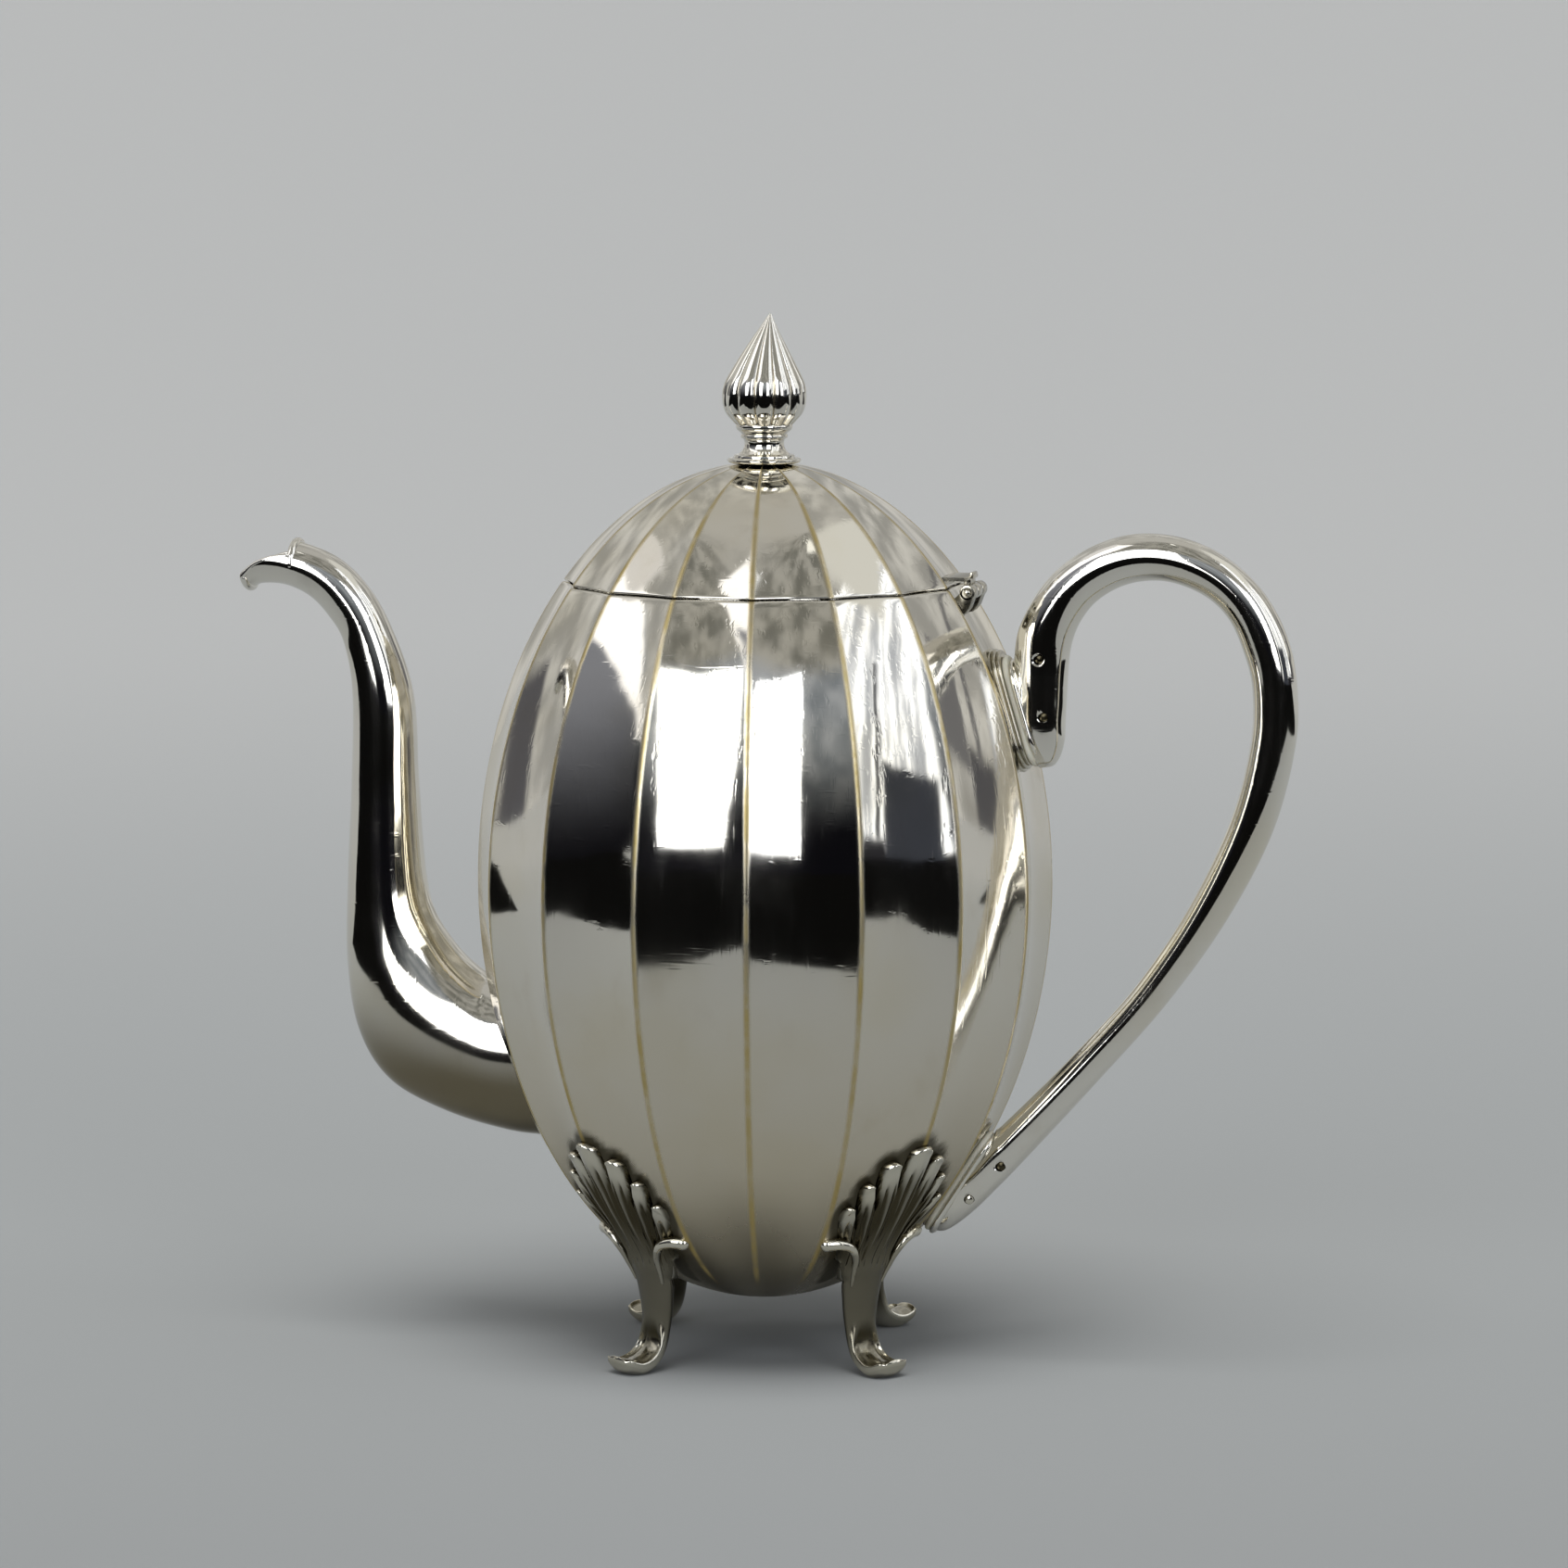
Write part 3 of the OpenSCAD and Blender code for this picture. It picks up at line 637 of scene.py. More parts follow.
def lip_wire():
    """Path of the wall's middle along the cut lip, down one side, round the tip and back."""
    e = along(LIP_EDGE, np.linspace(0, len(LIP_EDGE) - 1, 60))
    points = []
    for s in np.linspace(11.9, LAST, 64):
        ring = sections(SPOUT, [s], 361, SPOUT_WALL / 2)[0][:181]
        over = ring[:, 2] - np.interp(ring[:, 0], e[::-1, 0], e[::-1, 1])
        j = np.where((over[:-1] > 0) & (over[1:] <= 0))[0]
        if len(j) and ring[j[0], 0] < MOUTH_X:
            points.append(ring[j[0]])
    tip = sections(SPOUT, [LAST], 361, SPOUT_WALL / 2)[0]
    start = int(np.argmin(np.abs(tip[:181, 2] - points[-1][2])))
    arc = tip[start:361 - start:6]
    one = np.array(points)
    two = one[::-1] * (1, -1, 1)
    path = np.concatenate([one, arc[1:-1], two])
    return along(path, np.linspace(0, len(path) - 1, 220))


def bead_arch():
    """Path of the bead over the round mouth."""
    radius, middle_z = 4.75, 165.2
    a = np.radians(np.linspace(0, 180, 60))
    return np.stack([np.full(60, MOUTH_X - 0.1), radius * np.cos(a), middle_z + radius * np.sin(a)], -1)


spout = skin("spout", np.concatenate([spout_rings(0.0), spout_rings(SPOUT_WALL)[::-1]]), loop=True)
cut(spout, build_lip_cutter())
path = lip_wire()
from_tip = np.abs(np.linspace(-1, 1, len(path)))
wire = tube("lip_wire", path, 0.5 + 0.45 * smoothstep((0.45 - from_tip) / 0.4))
bead = tube("mouth_bead", bead_arch(), 0.9, 20)
lip = join("spout_lip", [bead, wire])
# the spout is darkened where it faces down low on the root: painted shade, kept with the tarnish
normals = np.array([v.normal for v in spout.data.vertices])
heights = np.array([v.co.z for v in spout.data.vertices]) / MM
underside_shade = smoothstep((0.35 - normals[:, 2]) / 0.65) * smoothstep((82 - heights) / 26)
point_values(spout, "tarnish_and_shade", 0.08 + 0.85 * underside_shade)
dress(spout, spout_silver, "silver", "pot", "spout")
dress(lip, plain_silver, "silver", "pot", "spout_lip_bead")

# ---- handle
# Stations of the handle, given like those of the spout
HANDLE = [
    (59.6, 126.2, 53.7, 146, 4.9), (62.6, 127.2, 53.7, 146.6, 5.2), (64.4, 131.5, 53.7, 147.2, 5.4),
    (64.8, 139, 53.8, 148.3, 5.5), (65.8, 151.8, 55, 156, 5.6), (69, 159, 60.4, 165.3, 5.3),
    (74, 163.4, 68.6, 172, 5.1), (80.2, 165.7, 78.5, 175.5, 5), (87, 165.7, 89, 175, 4.8),
    (94.1, 163, 98.5, 171, 4.6), (99, 158.5, 106.2, 164, 4.6), (102.1, 152, 111.2, 155, 4.7),
    (104.1, 144.2, 113.4, 145, 4.7), (103.8, 133, 113.1, 132, 4.6), (100, 117.3, 108.5, 114.2, 4.5),
    (91.6, 99, 99, 95.5, 4.1), (80.4, 81.7, 86.6, 77.7, 3.7), (67.1, 66.4, 72.5, 61.2, 3.75),
    (52.8, 51.6, 58.5, 45.5, 4.2), (50.6, 49.7, 51, 37.4, 4.4), (50.3, 49.2, 45, 31.4, 4.5),
    (50, 48.8, 39.8, 27.6, 4.4), (49.8, 48.4, 36.2, 27.5, 4.2)]
# Slanted ends of the handle: middle of the face, tilt, oval of the washer, oval of the handle's rim
UPPER_FACE = ((56.0, 138.3), -106.6, (25.0, 10.6), (21.4, 10.2))
LOWER_FACE = ((43.0, 37.95), -56.95, (26.5, 9.4), (25.4, 8.9))
# Pins: place in the plane y = 0, half width of the handle there, and how far their ends are sunk
UPPER_PINS = [((60.0, 149.4), 5.5, 1.1), ((61.0, 137.4), 5.45, 1.1)]
LOWER_PINS = [((52.1, 42.3), 4.25, 1.0), ((45.4, 35.0), 4.35, 0.1)]
PIN_R = 0.95


def oval_ring(size, grow):
    """Outline of a slot with round ends, grown by a distance."""
    r = size[1] / 2 + grow
    run = (size[0] - size[1]) / 2
    a = np.radians(np.linspace(-90, 90, 24))
    end = np.stack([run + r * np.cos(a), r * np.sin(a)], -1)
    line = np.linspace(1, -1, 12)[1:-1, None]
    top = np.concatenate([line * run, np.full_like(line, r)], 1)
    return np.concatenate([end, top, -end, -top])


def moulding(name, face, size, profile, shift=0.0):
    """Stack of ovals on a slanted face; profile gives depth into the body and growth."""
    (x0, z0), tilt = face[0], math.radians(face[1])
    rings = []
    for depth, grow in profile:
        flat = oval_ring(size, grow)
        up = flat[:, 0] + shift
        rings.append(np.stack([x0 + up * math.cos(tilt) + depth * math.sin(tilt), flat[:, 1],
                               z0 - up * math.sin(tilt) + depth * math.cos(tilt)], -1))
    return skin(name, np.array(rings), sharp=50)


def bent(profile):
    """The same outline with three points for each one, on smooth curves."""
    p = np.array(profile, float)
    return along(p, np.linspace(0, len(p) - 1, 3 * len(p) - 2))


# Profiles of the mouldings: depth from the handle's face into the body, and growth of the oval
SOCKET_LINE = bent([(1.42, 0.0), (1.6, 0.1), (1.78, 0.0), (1.88, -0.22), (1.98, -0.22), (2.08, 0.1),
                    (2.25, 0.42), (2.5, 0.52), (2.75, 0.42), (2.92, 0.15)])
SOCKET = [(1.3, -1.0), (1.3, -0.2), *map(tuple, SOCKET_LINE), (3.0, 0.4), (3.1, 0.75), (3.5, 0.9),
          (6.0, 0.9)]
WASHER = [(0.0, -2.0), (0.0, -0.95), (0.12, -0.7), (0.35, -0.52), (0.65, -0.45), (0.95, -0.52),
          (1.18, -0.7), (1.3, -0.95), (1.3, -2.0)]
RIM = [(-1.3, -0.5), (-1.0, -0.1), (-0.8, 0.12), (-0.5, 0.22), (-0.25, 0.15), (-0.05, -0.05),
       (0.0, -0.3), (0.0, -2.0)]
SOCKET_RAISE = 0.9      # the sockets sit this much higher on the slanted faces than the washers
ENDS = {"upper": UPPER_FACE, "lower": LOWER_FACE}
for end, tarnish_and_shade in (("upper", 0.3), ("lower", 0.5)):
    socket = moulding(end + "_socket_moulding", ENDS[end], ENDS[end][2], SOCKET, SOCKET_RAISE)
    darkened_all_over(tarnish_and_shade, socket)
    dress(socket, dull_silver, "silver", "pot", end + "_socket")
for end, face in ENDS.items():
    washer = moulding(end + "_bone_washer", face, face[2], WASHER)
    dress(washer, bone, "insulator", "pot", end + "_insulator")


def across(name, at, edge, low, high):
    """Solid of revolution across the pot, from low to high in y.

    edge gives radius and distance inwards from either end, and at is the axis in the plane y = 0.
    """
    profile = [(r, low + y) for r, y in edge] + [(r, high - y) for r, y in edge[::-1]]
    obj = lathe(name, profile, 48, 40)
    obj.data.transform(Matrix.Rotation(math.radians(-90), 4, "X"))
    obj.data.transform(Matrix.Translation(Vector((at[0], 0, at[1])) * MM))
    return obj


def build_pins(name, pins, node):
    edge = [(0, 0), (PIN_R * 0.6, 0.05), (PIN_R * 0.9, 0.14), (PIN_R, 0.3)]
    parts = []
    for at, width, sunk in pins:
        pin = across("pin", at, edge, sunk - width, width - sunk)
        # a pin sunk deep in its hole is painted fully dark: the shade inside the hole
        parts += darkened_all_over(1.0 if sunk > 0.5 else 0.0, pin)
    dress(join(name, parts), foot_silver, "pin_silver", "pot", node)


def pin_hole(at, width):
    """Cutter for one pin's hole, with an eased edge at both sides of the handle."""
    r = PIN_R + 0.12
    return across("pin_hole", at, [(0, -2), (r + 0.5, -2), (r + 0.35, 0.05), (r, 0.35)], -width, width)


rings = sections(HANDLE, np.linspace(0, len(HANDLE) - 1, 330), 56)
handle = skin("handle", rings, sharp=40)
for at, width, sunk in UPPER_PINS + LOWER_PINS:
    cut(handle, pin_hole(at, width), 40)
handle = join("handle", [handle] + [moulding("rim", face, face[3], RIM) for face in ENDS.values()])
dress(handle, plain_silver, "silver", "pot", "handle")
build_pins("upper_pins", UPPER_PINS, "upper_handle_pins")
build_pins("lower_pins", LOWER_PINS, "lower_handle_pins")

# ---- hinge
HINGE = (45.0, 163.0)
HINGE_END = 6.0         # half the hinge's width across the pot
BODY_KNUCKLE = 2.3      # the body's knuckles begin at this distance to each side
LID_KNUCKLE = 2.0       # the lid's knuckle ends at this distance to each side
ROD_END = 6.2
# Ends of the knuckles and of the rod: radius and distance inwards
KNUCKLE_EDGE = [(0, 0.3), (0.93, 0.3), (1.05, 0), (1.45, 0), (1.6, 0.08), (1.65, 0.25)]
ROD_EDGE = [(0, 0), (0.45, 0.07), (0.7, 0.22), (0.8, 0.5)]
BRACKET = [(-3.5, -5.5), (-1, -5), (0.4, -3.2), (1.2, -1), (-1, 1), (-1.65, -0.2), (-3.5, -2)]
LEAF_TOP = top_mm("hinge_lid_leaf") - 0.8
LUG = [(-0.38, -0.5), (0.38, -0.5), (0.38, 0.6), (0.2, 0.8), (-0.2, 0.8), (-0.38, 0.6)]


def slab(name, outline, low, high):
    """Plate across the pot with eased edges; its outline is given in the plane y = 0."""
    bevel = 0.15
    p = np.array(outline, float)
    middle = p.mean(0)
    size = np.abs(p - middle).max()
    ease = [(0, bevel), (0.3 * bevel, 0.3 * bevel), (bevel, 0)]
    rings = []
    for y, inset in [(low + y, inset) for y, inset in ease] + [(high - y, inset) for y, inset in ease[::-1]]:
        flat = middle + (p - middle) * (1 - inset / size)
        rings.append(np.stack([flat[:, 0], np.full(len(p), y), flat[:, 1]], -1))
    return skin(name, np.array(rings), sharp=50)


def oblong(x0, x1, z0, z1):
    return [(x0, z0), (x1, z0), (x1, z1), (x0, z1)]


def moved(outline, x0, z0):
    return [(x0 + x, z0 + z) for x, z in outline]


def knuckle(low, high):
    return across("knuckle", HINGE, KNUCKLE_EDGE, low, high)


def lid_plate():
    """Flat of the lid's leaf, cut to the lid's wall on its inner side."""
    thick = 0.75
    rings = []
    for y in np.linspace(-HINGE_END, HINGE_END, 25):
        wall = float(body_x(y, LEAF_TOP - 0.4, 0.4))
        edge = HINGE[0] - 0.5 * (abs(y) / HINGE_END) ** 6
        outline = [(wall, -thick), (edge - 0.2, -thick), (edge, 0.2 - thick), (edge, -0.2), (edge - 0.2, 0),
                   (wall, 0)]
        rings.append([(x, y, LEAF_TOP + z) for x, z in outline])
    return skin("lid_plate", np.array(rings), sharp=50)


brackets = [slab("bracket", moved(BRACKET, *HINGE), low, low + HINGE_END - BODY_KNUCKLE)
            for low in (-HINGE_END, BODY_KNUCKLE)]
plate = slab("plate", oblong(41.8, 43.7, 156.5, 160.0), -HINGE_END, HINGE_END)
knuckles = [knuckle(-HINGE_END, -BODY_KNUCKLE), knuckle(BODY_KNUCKLE, HINGE_END)]
body_leaf = join("hinge_body_part", darkened_all_over(0.35, *knuckles, plate) + darkened_all_over(0.8, *brackets))
dress(body_leaf, dull_silver, "silver", "pot", "hinge_body_leaf")
rod = across("hinge_rod", HINGE, ROD_EDGE, -ROD_END, ROD_END)
dress(join("hinge_rod", darkened_all_over(0.2, rod)), dull_silver, "silver", "pot", "hinge_pin")
web = slab("web", oblong(43.35, HINGE[0], HINGE[1], LEAF_TOP - 0.3), -LID_KNUCKLE, LID_KNUCKLE)
lug = slab("lug", moved(LUG, HINGE[0], LEAF_TOP), -LID_KNUCKLE, LID_KNUCKLE)
lid_leaf = join("hinge_lid_part", darkened_all_over(0.3, knuckle(-LID_KNUCKLE, LID_KNUCKLE), lug)
                + darkened_all_over(0.45, web, lid_plate()))
dress(lid_leaf, dull_silver, "silver", "lid", "hinge_lid_leaf")

# ---- finial
CROWN_Z = low_mm("finial_collar")
COLLAR_TOP = top_mm("finial_collar")
STEM_TOP = 197.0
TIP_Z = top_mm("finial_bud")
# Heights and radii of the bud's outline
BUD = [(STEM_TOP - 0.4, 5.7), (197.5, 6.6), (199.5, 8.2), (202.4, 8.85), (205.5, 8.4), (209, 6.6),
       (213, 4.3), (217, 1.9), (TIP_Z, 0.2)]
LOBES = 12
BUD_CREASE = 0.1        # depth of the creases, as a share of the radius
BUD_LEAN = 1.3          # how far the tip leans towards the handle
LEAN_FROM = 201.0


def build_bud():
    steps = 16
    outline = along(BUD, np.linspace(0, len(BUD) - 1, 110))
    z, r = outline[:, 0:1], outline[:, 1:2]
    k = np.arange(LOBES * steps)
    u = 2 * (k % steps) / steps - 1
    share = 1 - BUD_CREASE * np.abs(u)[None, :] ** 2.6
    a = np.radians(360 * k / (LOBES * steps))[None, :]
    rise = np.maximum(0, z - LEAN_FROM) / (TIP_Z - LEAN_FROM)
    shift = BUD_LEAN * rise ** 2
    rings = np.stack([r * share * np.cos(a) + shift, r * share * np.sin(a),
                      np.broadcast_to(z, (len(z), len(k)))], -1)
    obj = skin("bud", rings, sharp=50)
    crease = np.tile(np.abs(u) ** 10, len(z)) * 0.8
    low = np.repeat(smoothstep((199 - z[:, 0]) / 3), len(k)) * 0.5
    point_values(obj, "tarnish_and_shade", np.clip(crease + low, 0, 1))
    return obj


# Radii and heights: the stem's from its top, the collar's from the lid's crown
STEM = [(0, COLLAR_TOP - STEM_TOP), (5.4, COLLAR_TOP - STEM_TOP), (5.35, -6.4), (5.1, -6.1), (4.6, -5.6),
        (4.3, -5.0), (4.15, -4.3), (4.15, -3.8), (4.3, -3.3), (4.5, -3.05), (4.85, -2.95), (4.95, -2.7),
        (4.95, -2.45), (4.85, -2.25), (4.75, -2.15), (4.9, -1.9), (5.3, -1.6), (5.75, -1.2),
        (5.95, -0.8), (5.98, -0.4), (5.85, -0.1), (5.6, 0.2), (0, 0.2)]
COLLAR = [(0, 0), (6.2, 0), (7.1, 0.05), (7.5, 0.2), (7.75, 0.45), (7.8, 0.6), (7.75, 0.8), (7.5, 1.0),
          (7.0, 1.08), (6.6, 1.1), (6.45, 1.2), (6.42, 1.45), (6.35, 1.65), (6.1, 1.78), (5.7, 1.8),
          (0, 1.8)]
bud = build_bud()
stem = lathe("stem", [(r, STEM_TOP + z) for r, z in STEM])
finial = join("finial", [bud, *darkened_all_over(0.15, stem)])
dress(finial, plain_silver, "silver", "lid", "finial_bud")
collar = lathe("collar", [(r, CROWN_Z + z) for r, z in COLLAR])
dress(collar, plain_silver, "silver", "lid", "finial_collar")

# ---- feet
FOOT_COLS = 193         # columns of the mesh across the front of a foot
LEAF_ROWS = 84
LEG_ROWS = 76
SPOON = (3.7, 8.3)      # stations of the leg between which the toe is hollowed
SPOON_DEPTH = 1.35
VALLEY_DEPTH = 0.9      # between two lobes of the leaf
GROOVE_DEPTH = 0.8      # within a lobe


def foot_leg():
    """Rings of the leg, toe first, and their tarnish; the first half of each ring is its front."""
    u = np.linspace(-1, 1, FOOT_COLS)
    t = np.linspace(len(LEG) - 1, KNEE, LEG_ROWS)
    s = along(LEG, t)
    mid, half = (s[:, 0:2] + s[:, 2:4]) / 2, (s[:, 0:2] - s[:, 2:4]) / 2
    turn = np.radians(np.concatenate([180 - 100 * u, 80 - 160 * np.linspace(0, 1, FOOT_COLS)]))
    leg = np.stack([mid[:, :1] + half[:, :1] * np.cos(turn), s[:, 4:5] * np.sin(turn),
                    mid[:, 1:2] + half[:, 1:2] * np.cos(turn)], -1)
    # spoon: a polished hollow with a raised rim along the toe's upper side
    way = np.abs(u)[None, :]
    depth = smoothstep((t - SPOON[0]) / 1.3) * (1 - smoothstep((t - SPOON[1]) / 0.6))
    narrow = 0.35 + 0.4 * smoothstep((t - SPOON[0]) / 1.6)
    dish = -SPOON_DEPTH * depth[:, None] * smoothstep((narrow[:, None] - way) / 0.3)
    dish += 0.3 * depth[:, None] * np.exp(-((way - narrow[:, None] - 0.06) / 0.12) ** 2)
    out = -half / np.linalg.norm(half, axis=1, keepdims=True)
    leg[:, :FOOT_COLS, 0] += dish * out[:, :1]
    leg[:, :FOOT_COLS, 2] += dish * out[:, 1:2]
    film = LEG_FILM * (1 - smoothstep((t - 4.2) / 1.5))[:, None]
    back = np.repeat(0.15 + film, FOOT_COLS, 1)
    return leg, np.concatenate([np.clip(-dish / 3.2, 0, 1) + film, back], axis=1)


def foot_leaf(knee):
    """Rings of the leaf and their tarnish with painted shade, from the leg's last ring, knee, to the
    outline.
    """
    deg = LEAF_DEG * np.linspace(-1, 1, FOOT_COLS)
    length = leaf_length(deg)[None, :]
    q = (1 - (1 - np.linspace(0, 1, LEAF_ROWS)) ** 1.35)[:, None]
    rho = LEAF_START + q * (length - LEAF_START)
    ang = np.radians(deg)[None, :]
    side, z = rho * np.sin(ang), LEAF_Z + rho * np.cos(ang)
    env = leaf_front(side, z, rho * math.sin(math.radians(LEAF_DEG)) + 1.2)
    on_wall = smoothstep((z - 24) / 4)
    back = np.maximum(wall_front(side, z) - 0.7, (env - 2.4) * (1 - on_wall))
    x, _, gap = lobe_place(deg)
    share = rho / length
    valley = VALLEY_DEPTH * np.exp(-(rho * np.radians(gap)[None, :] / 0.6) ** 2)
    valley *= smoothstep((rho - 8.5) / 6)
    grooves = np.zeros_like(rho)
    for line in (-0.4, 0.4):
        off = rho * np.radians((x - line) * 4.8)[None, :]
        grooves += GROOVE_DEPTH * np.exp(-(off / 0.27) ** 2) * (1 - smoothstep((share - 0.76) / 0.12))
    grooves *= smoothstep((rho - 7.5) / 4)
    plump = 0.6 * (1 - np.abs(x)[None, :] ** 2) * smoothstep((share - 0.6) / 0.25)
    lip = 0.3 * np.exp(-((length - rho - 1.0) / 0.55) ** 2)
    edge_d = distance_to(leaf_outline(), side, z)
    rounding = np.sqrt(1 - (1 - np.clip(edge_d / 1.2, 0, 1)) ** 2)
    rounding[0] = 1.0
    front = back + (env - valley - grooves + plump + lip - back) * rounding
    rear = np.stack([back, side, z], -1)[:, ::-1] - np.array([0.05, 0, 0])
    leaf = np.concatenate([np.stack([front, side, z], -1), rear], axis=1)
    k = smoothstep(np.linspace(0, 1, LEAF_ROWS) / 0.4)[:, None]
    leaf = leaf * k[..., None] + (leaf - leaf[0][None] + knee[None]) * (1 - k[..., None])
    # painted shade along the leaf's sides where it stands on the body
    edge_shade = 0.9 * (1 - smoothstep((edge_d - 0.2) / 0.4)) * on_wall
    patina_and_edge_shade = np.clip(valley * 1.1 + grooves * 1.9 + edge_shade, 0, 1)
    low = 0.7 * (1 - smoothstep((share - 0.72) / 0.2))
    dark = np.clip(patina_and_edge_shade + low, 0, 1) * k + LEG_FILM * (1 - k)
    # the leaf's back is painted dark: the shade between the leaf and the body
    return leaf[1:], np.concatenate([dark, np.repeat(0.9 * k, FOOT_COLS, 1)], axis=1)[1:]


def foot_mesh():
    """Corners, faces, and tarnish with painted shade, of one foot that points along x."""
    leg, leg_dark = foot_leg()
    leaf, leaf_dark = foot_leaf(leg[-1])
    rings = np.concatenate([leg, leaf])
    rings[..., 2] = np.maximum(rings[..., 2], 0.0)      # flat under the toe
    rows, n = rings.shape[:2]
    faces = ring_faces(rows, n)
    faces.append(tuple(range(n)))
    last = (rows - 1) * n
    faces += [(last + i, last + i + 1, last + n - 2 - i, last + n - 1 - i) for i in range(FOOT_COLS - 1)]
    return rings.reshape(-1, 3), faces, np.concatenate([leg_dark, leaf_dark]).ravel()


def horn(sign):
    """Curled end of the leaf's lowest edge, beside the knee."""
    flat = along([(4.2, 19.0), (4.9, 22.2), (5.6, 25.2), (7.4, 27.8), (10.0, 28.9), (12.4, 28.9)],
                 np.linspace(0, 5, 40))
    reach = 0.55 * (flat[:, 1] - LEAF_Z) + 4
    out = leaf_front(flat[:, 0], flat[:, 1], reach) - 0.5
    path = np.stack([out, sign * flat[:, 0], flat[:, 1]], -1)
    radii = np.interp(np.linspace(0, 1, 40), [0, 0.3, 0.75, 1], [0.35, 0.6, 1.25, 1.5])
    return tube("horn", path, radii, 14)


def build_foot(name, node, deg):
    verts, faces, dark = foot_mesh()
    leaf = new_mesh(name, verts, faces, sharp=60)
    point_values(leaf, "tarnish_and_shade", dark)
    parts = [leaf]
    for sign in (-1, 1):
        curl = horn(sign)
        heights = np.array([v.co.z for v in curl.data.vertices]) / MM
        point_values(curl, "tarnish_and_shade", np.where(heights > 26.5, 0.0, 0.45))
        parts.append(curl)
    foot = join(name, parts)
    foot.data.transform(Matrix.Rotation(math.radians(deg), 4, "Z"))
    dress(foot, foot_silver, "foot_silver", "pot", node)


for place, deg in FOOT_DEGS.items():
    build_foot("foot_" + place, place + "_foot", deg)

# ---- CAD nodes that stay
for node in ("mouth_ring", "lid_flange", "finial_washer", "finial_nut"):
    dress_cad(node, plain_silver)

# ---- floor, studio and camera
CAMERA_DEG = 14.6
PITCH_DEG = 7.16
DISTANCE = 1.37727
AIM = (0.004135, 0.121021)      # point looked at: to the camera's right, and height
VIEW_WIDTH = 0.33014634         # width of the view at that point
SENSOR = 36.0
phi, pitch = math.radians(CAMERA_DEG), math.radians(PITCH_DEG)


# Floor tones: painted falloff of light, dimmer near the pot and brighter far off
FLOOR_NEAR_SHADED = (0.215, 0.223, 0.222)
FLOOR_FAR_LIT = (0.278, 0.281, 0.278)
TABLE_FRONT = -342.0    # edges of the pale table top, in mm, seen from the camera
TABLE_LEFT = -580.0
TABLE_RIGHT = 690.0
TABLE_BACK = 280.0
DARK_FAR = 150000.0


def turned_place(n, place):
    """The parts of a place with x to the camera's right and y away from it."""
    turned = n.add("ShaderNodeVectorRotate", rotation_type="Z_AXIS", Angle=-phi)
    n.put(turned.inputs["Vector"], place)
    split = n.add("ShaderNodeSeparateXYZ")
    n.put(split.inputs[0], turned.outputs[0])
    return split.outputs


def build_floor():
    steps = [0.12, 0.3, 0.7, 1.5, 3.0, 6.0, 14.0, 40.0, 150.0]
    sides = 96
    a = ring_angles(sides)
    rings = np.array([[(r * math.cos(q), r * math.sin(q), 0) for q in a] for r in steps]) / MM
    floor = skin("floor", rings[::-1], start_cap=False)
    mat, n, shader = new_material("paper_painted_falloff", Roughness=0.75)
    shader.inputs["Specular IOR Level"].default_value = 0.0
    place = n.add("ShaderNodeTexCoord").outputs["Object"]
    far = n.add("ShaderNodeVectorMath", operation="LENGTH")
    n.put(far.inputs[0], place)
    ahead = turned_place(n, place)[1]
    # painted falloff of light: darker near the middle, and darker still towards the camera
    tone = n.mix(n.ramp(far.outputs["Value"], 0.2, 1.6), FLOOR_NEAR_SHADED, FLOOR_FAR_LIT)
    tone = n.mix(n.ramp(ahead, -0.45, 0.15, (0.3, 0.0)), tone, (0.09, 0.09, 0.09))
    n.put(shader.inputs["Base Color"], tone)
    floor.data.materials.append(mat)
    return floor


def build_dark_room():
    """Dark beyond the table's front and side edges, which only the silver's reflections show."""
    boxes = [(-DARK_FAR, DARK_FAR, -DARK_FAR, TABLE_FRONT),
             (-DARK_FAR, TABLE_LEFT, TABLE_FRONT, TABLE_BACK),
             (TABLE_RIGHT, DARK_FAR, TABLE_FRONT, TABLE_BACK)]
    verts, faces = [], []
    for x0, x1, y0, y1 in boxes:
        for x, y in oblong(x0, x1, y0, y1):
            verts.append((x * math.cos(phi) - y * math.sin(phi), x * math.sin(phi) + y * math.cos(phi), 1.0))
        faces.append(tuple(range(len(verts) - 4, len(verts))))
    room = new_mesh("dark_room", verts, faces)
    mat = new_material("black_card", "ShaderNodeEmission", Strength=0.004)[0]
    room.data.materials.append(mat)
    room.visible_camera = False
    room.visible_diffuse = False
    room.visible_shadow = False


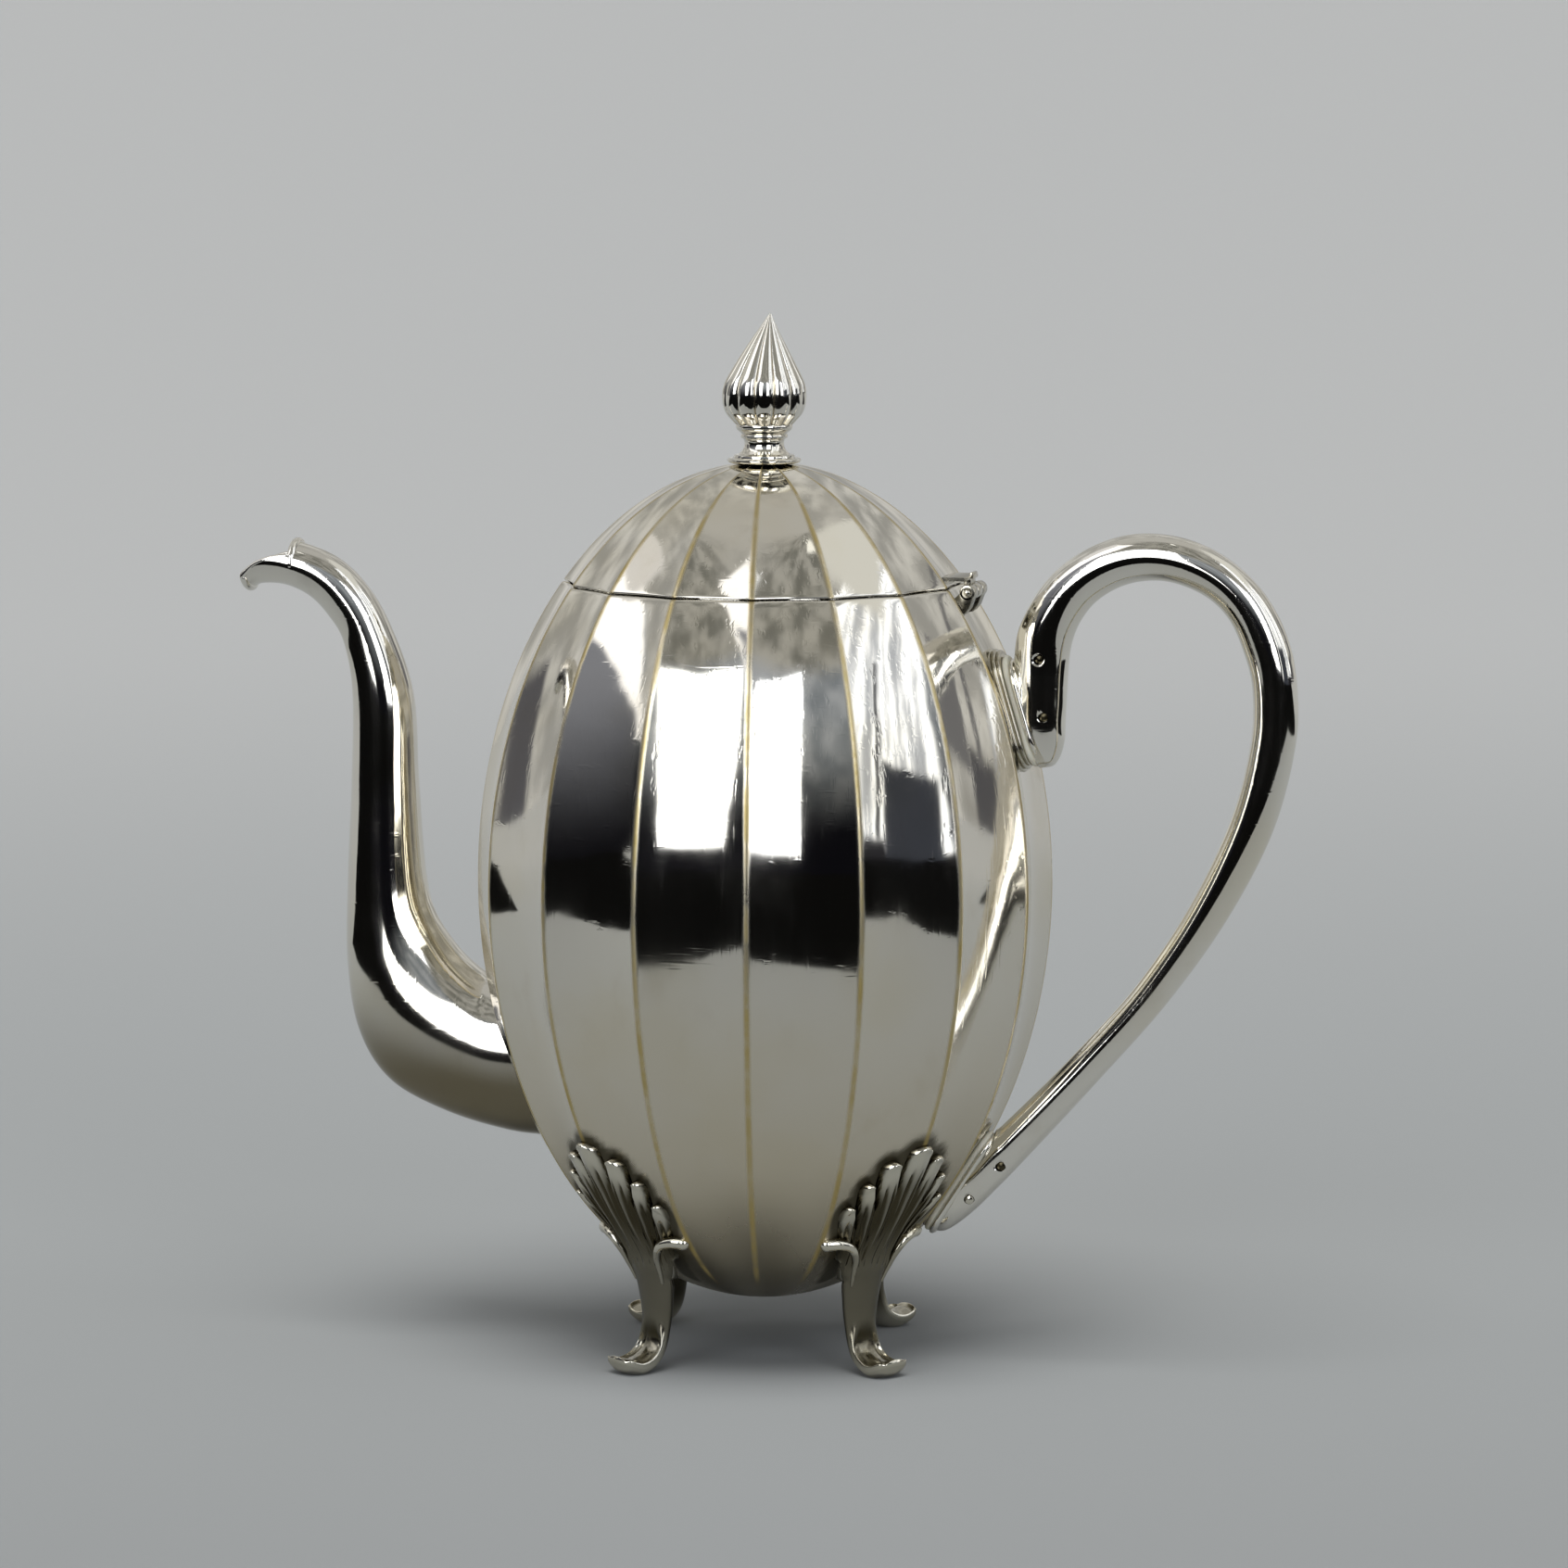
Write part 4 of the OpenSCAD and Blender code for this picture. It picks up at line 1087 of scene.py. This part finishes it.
def build_world():
    """Studio round the pot, by azimuth from the camera and elevation: windows, dim wall, pale back."""
    world = bpy.data.worlds.new("studio")
    bpy.context.scene.world = world
    world.use_nodes = True
    n = Nodes(world.node_tree)
    out = n.add("ShaderNodeOutputWorld")
    background = n.add("ShaderNodeBackground", Strength=1.0)
    n.put(out.inputs["Surface"], background.outputs[0])
    x, y, z = turned_place(n, n.add("ShaderNodeTexCoord").outputs["Generated"])
    el = n.math("DEGREES", n.math("ARCSINE", z))
    az = n.math("DEGREES", n.math("ARCTAN2", x, n.times(y, -1.0)))
    side = n.math("ABSOLUTE", az)
    both = n.add("ShaderNodeCombineXYZ")
    n.put(both.inputs[0], az)
    n.put(both.inputs[1], el)
    streaks = n.noise(n.stretched(both.outputs[0], (0.25, 0.035, 1.0)), 1.0, 3.0, 0.6)
    clutter = n.noise(n.stretched(both.outputs[0], (0.09, 0.11, 1.0)), 1.0, 2.0, 0.5)

    def patch(az_low, az_high, el_low, el_high, lean=(0.0, 0.0), tilt=0.0, soft=0.8):
        """Soft-edged patch; lean moves its sides with height, and tilt raises its top with azimuth."""
        height = n.math("SUBTRACT", el, el_low)
        left = n.math("SUBTRACT", az, n.times(height, lean[0]))
        right = n.math("SUBTRACT", az, n.times(height, lean[1]))
        top = n.math("SUBTRACT", el, n.times(n.math("SUBTRACT", az, az_low), tilt))
        a = n.times(n.ramp(left, az_low - soft, az_low + soft),
                   n.ramp(right, az_high - soft, az_high + soft, (1, 0)))
        b = n.times(n.ramp(el, el_low - soft, el_low + soft),
                   n.ramp(top, el_high - soft, el_high + soft, (1, 0)))
        return n.times(a, b)

    front = n.mix(n.ramp(clutter, 0.35, 0.65), (0.18, 0.18, 0.165), (0.42, 0.415, 0.39))
    ceiling = n.mix(n.ramp(side, 35, 110), front, (0.50, 0.495, 0.48))
    dim = n.mix(n.ramp(clutter, 0.35, 0.65), (0.21, 0.235, 0.27), (0.40, 0.425, 0.47))
    wall = n.mix(n.ramp(el, 7, 30), (0.004, 0.004, 0.006), dim)
    colour = n.mix(n.ramp(el, 38, 44), wall, ceiling)
    pale = n.mix(n.ramp(clutter, 0.35, 0.7), (0.36, 0.36, 0.35), (0.66, 0.655, 0.64))
    pale = n.mix(n.ramp(el, 40, 75), pale, ceiling)
    colour = n.mix(n.ramp(side, 95, 99), colour, pale)
    gloom = n.mix(n.ramp(el, 0, 34), (0.006, 0.006, 0.008), (0.24, 0.25, 0.29))
    blinds = n.mix(n.ramp(streaks, 0.38, 0.62), (0.52, 0.55, 0.62), (1.9, 1.95, 2.05))
    patches = [
        # left: a pale wall over a dark one
        ((-96, -56, 15, 63), {"lean": (0.0, 0.06)}, (1.5, 1.49, 1.52)),
        ((-94, -56, -4, 20), {"tilt": 0.74, "soft": 1.5}, gloom),
        # right: bright blinds, with a dark cabinet below
        ((43, 97, 1, 64), {"lean": (0.2, 0.0)}, blinds),
        ((47, 72, -5, 14.5), {"tilt": 0.06}, (0.045, 0.05, 0.065)),
        ((72, 97, -5, 3), {"soft": 0.5}, (0.02, 0.02, 0.025)),
        ((73.5, 75.5, 3, 34), {"soft": 0.4}, (0.10, 0.105, 0.12)),
        # dark things beside and behind the pot
        ((98, 113, -8, 9), {"soft": 1.0}, (0.09, 0.09, 0.10)),
        ((-122, -103, -8, 19), {"lean": (0.2, 0.0), "soft": 2.0}, (0.10, 0.10, 0.115)),
        ((113, 128, 6, 20), {"lean": (0.1, 0.0), "soft": 1.0}, (0.17, 0.17, 0.18)),
        ((104, 107, 8, 60), {"lean": (0.2, 0.2)}, (0.16, 0.16, 0.17)),
        # the two windows
        ((-42.5, -16.5, 4.5, 38.5), {"lean": (-0.34, 0.09), "tilt": 0.09, "soft": 0.6}, (3.6, 3.7, 3.9)),
        ((17, 36, 3.5, 40.5), {"lean": (-0.04, 0.04), "tilt": -0.18, "soft": 0.6}, (3.3, 3.4, 3.7)),
        # small lights high up, for the lid
        ((-112, -86, 46, 62), {"lean": (0.0, 0.3), "soft": 2.0}, (0.8, 0.79, 0.8)),
        ((66, 128, 46, 70), {"lean": (0.6, 0.0), "soft": 3.0}, (0.75, 0.75, 0.72)),
        ((-10, 8, 80, 86), {"soft": 1.5}, (1.2, 1.2, 1.15))]
    for edges, shape, tint in patches:
        colour = n.mix(patch(*edges, **shape), colour, tint)
    n.put(background.inputs["Color"], colour)


def build_ceiling_light(floor):
    """Broad light from above that only the floor receives, for the deep shadow under the pot."""
    data = bpy.data.lights.new("ceiling_light", "SUN")
    data.energy = 3.4
    data.angle = math.radians(38)
    sun = bpy.data.objects.new("ceiling_light", data)
    bpy.context.scene.collection.objects.link(sun)
    lean = 0.35         # towards the camera's side
    towards = Vector((math.sin(phi) * lean, -math.cos(phi) * lean, 1.0))
    sun.rotation_euler = towards.to_track_quat("Z", "Y").to_euler()
    sun.visible_glossy = False
    lit = bpy.data.collections.new("lit_by_ceiling")
    lit.objects.link(floor)
    sun.light_linking.receiver_collection = lit


def build_camera():
    aim = Vector((AIM[0] * math.cos(phi), AIM[0] * math.sin(phi), AIM[1]))
    back = Vector((math.sin(phi) * math.cos(pitch), -math.cos(phi) * math.cos(pitch), math.sin(pitch)))
    data = bpy.data.cameras.new("camera")
    data.sensor_width = SENSOR
    data.lens = DISTANCE / VIEW_WIDTH * SENSOR
    data.clip_end = 1000
    camera = bpy.data.objects.new("camera", data)
    bpy.context.scene.collection.objects.link(camera)
    camera.location = aim + DISTANCE * back
    camera.rotation_euler = back.to_track_quat("Z", "Y").to_euler()
    bpy.context.scene.camera = camera


build_ceiling_light(build_floor())
build_dark_room()
build_world()
build_camera()
bpy.context.scene.view_settings.view_transform = "Standard"
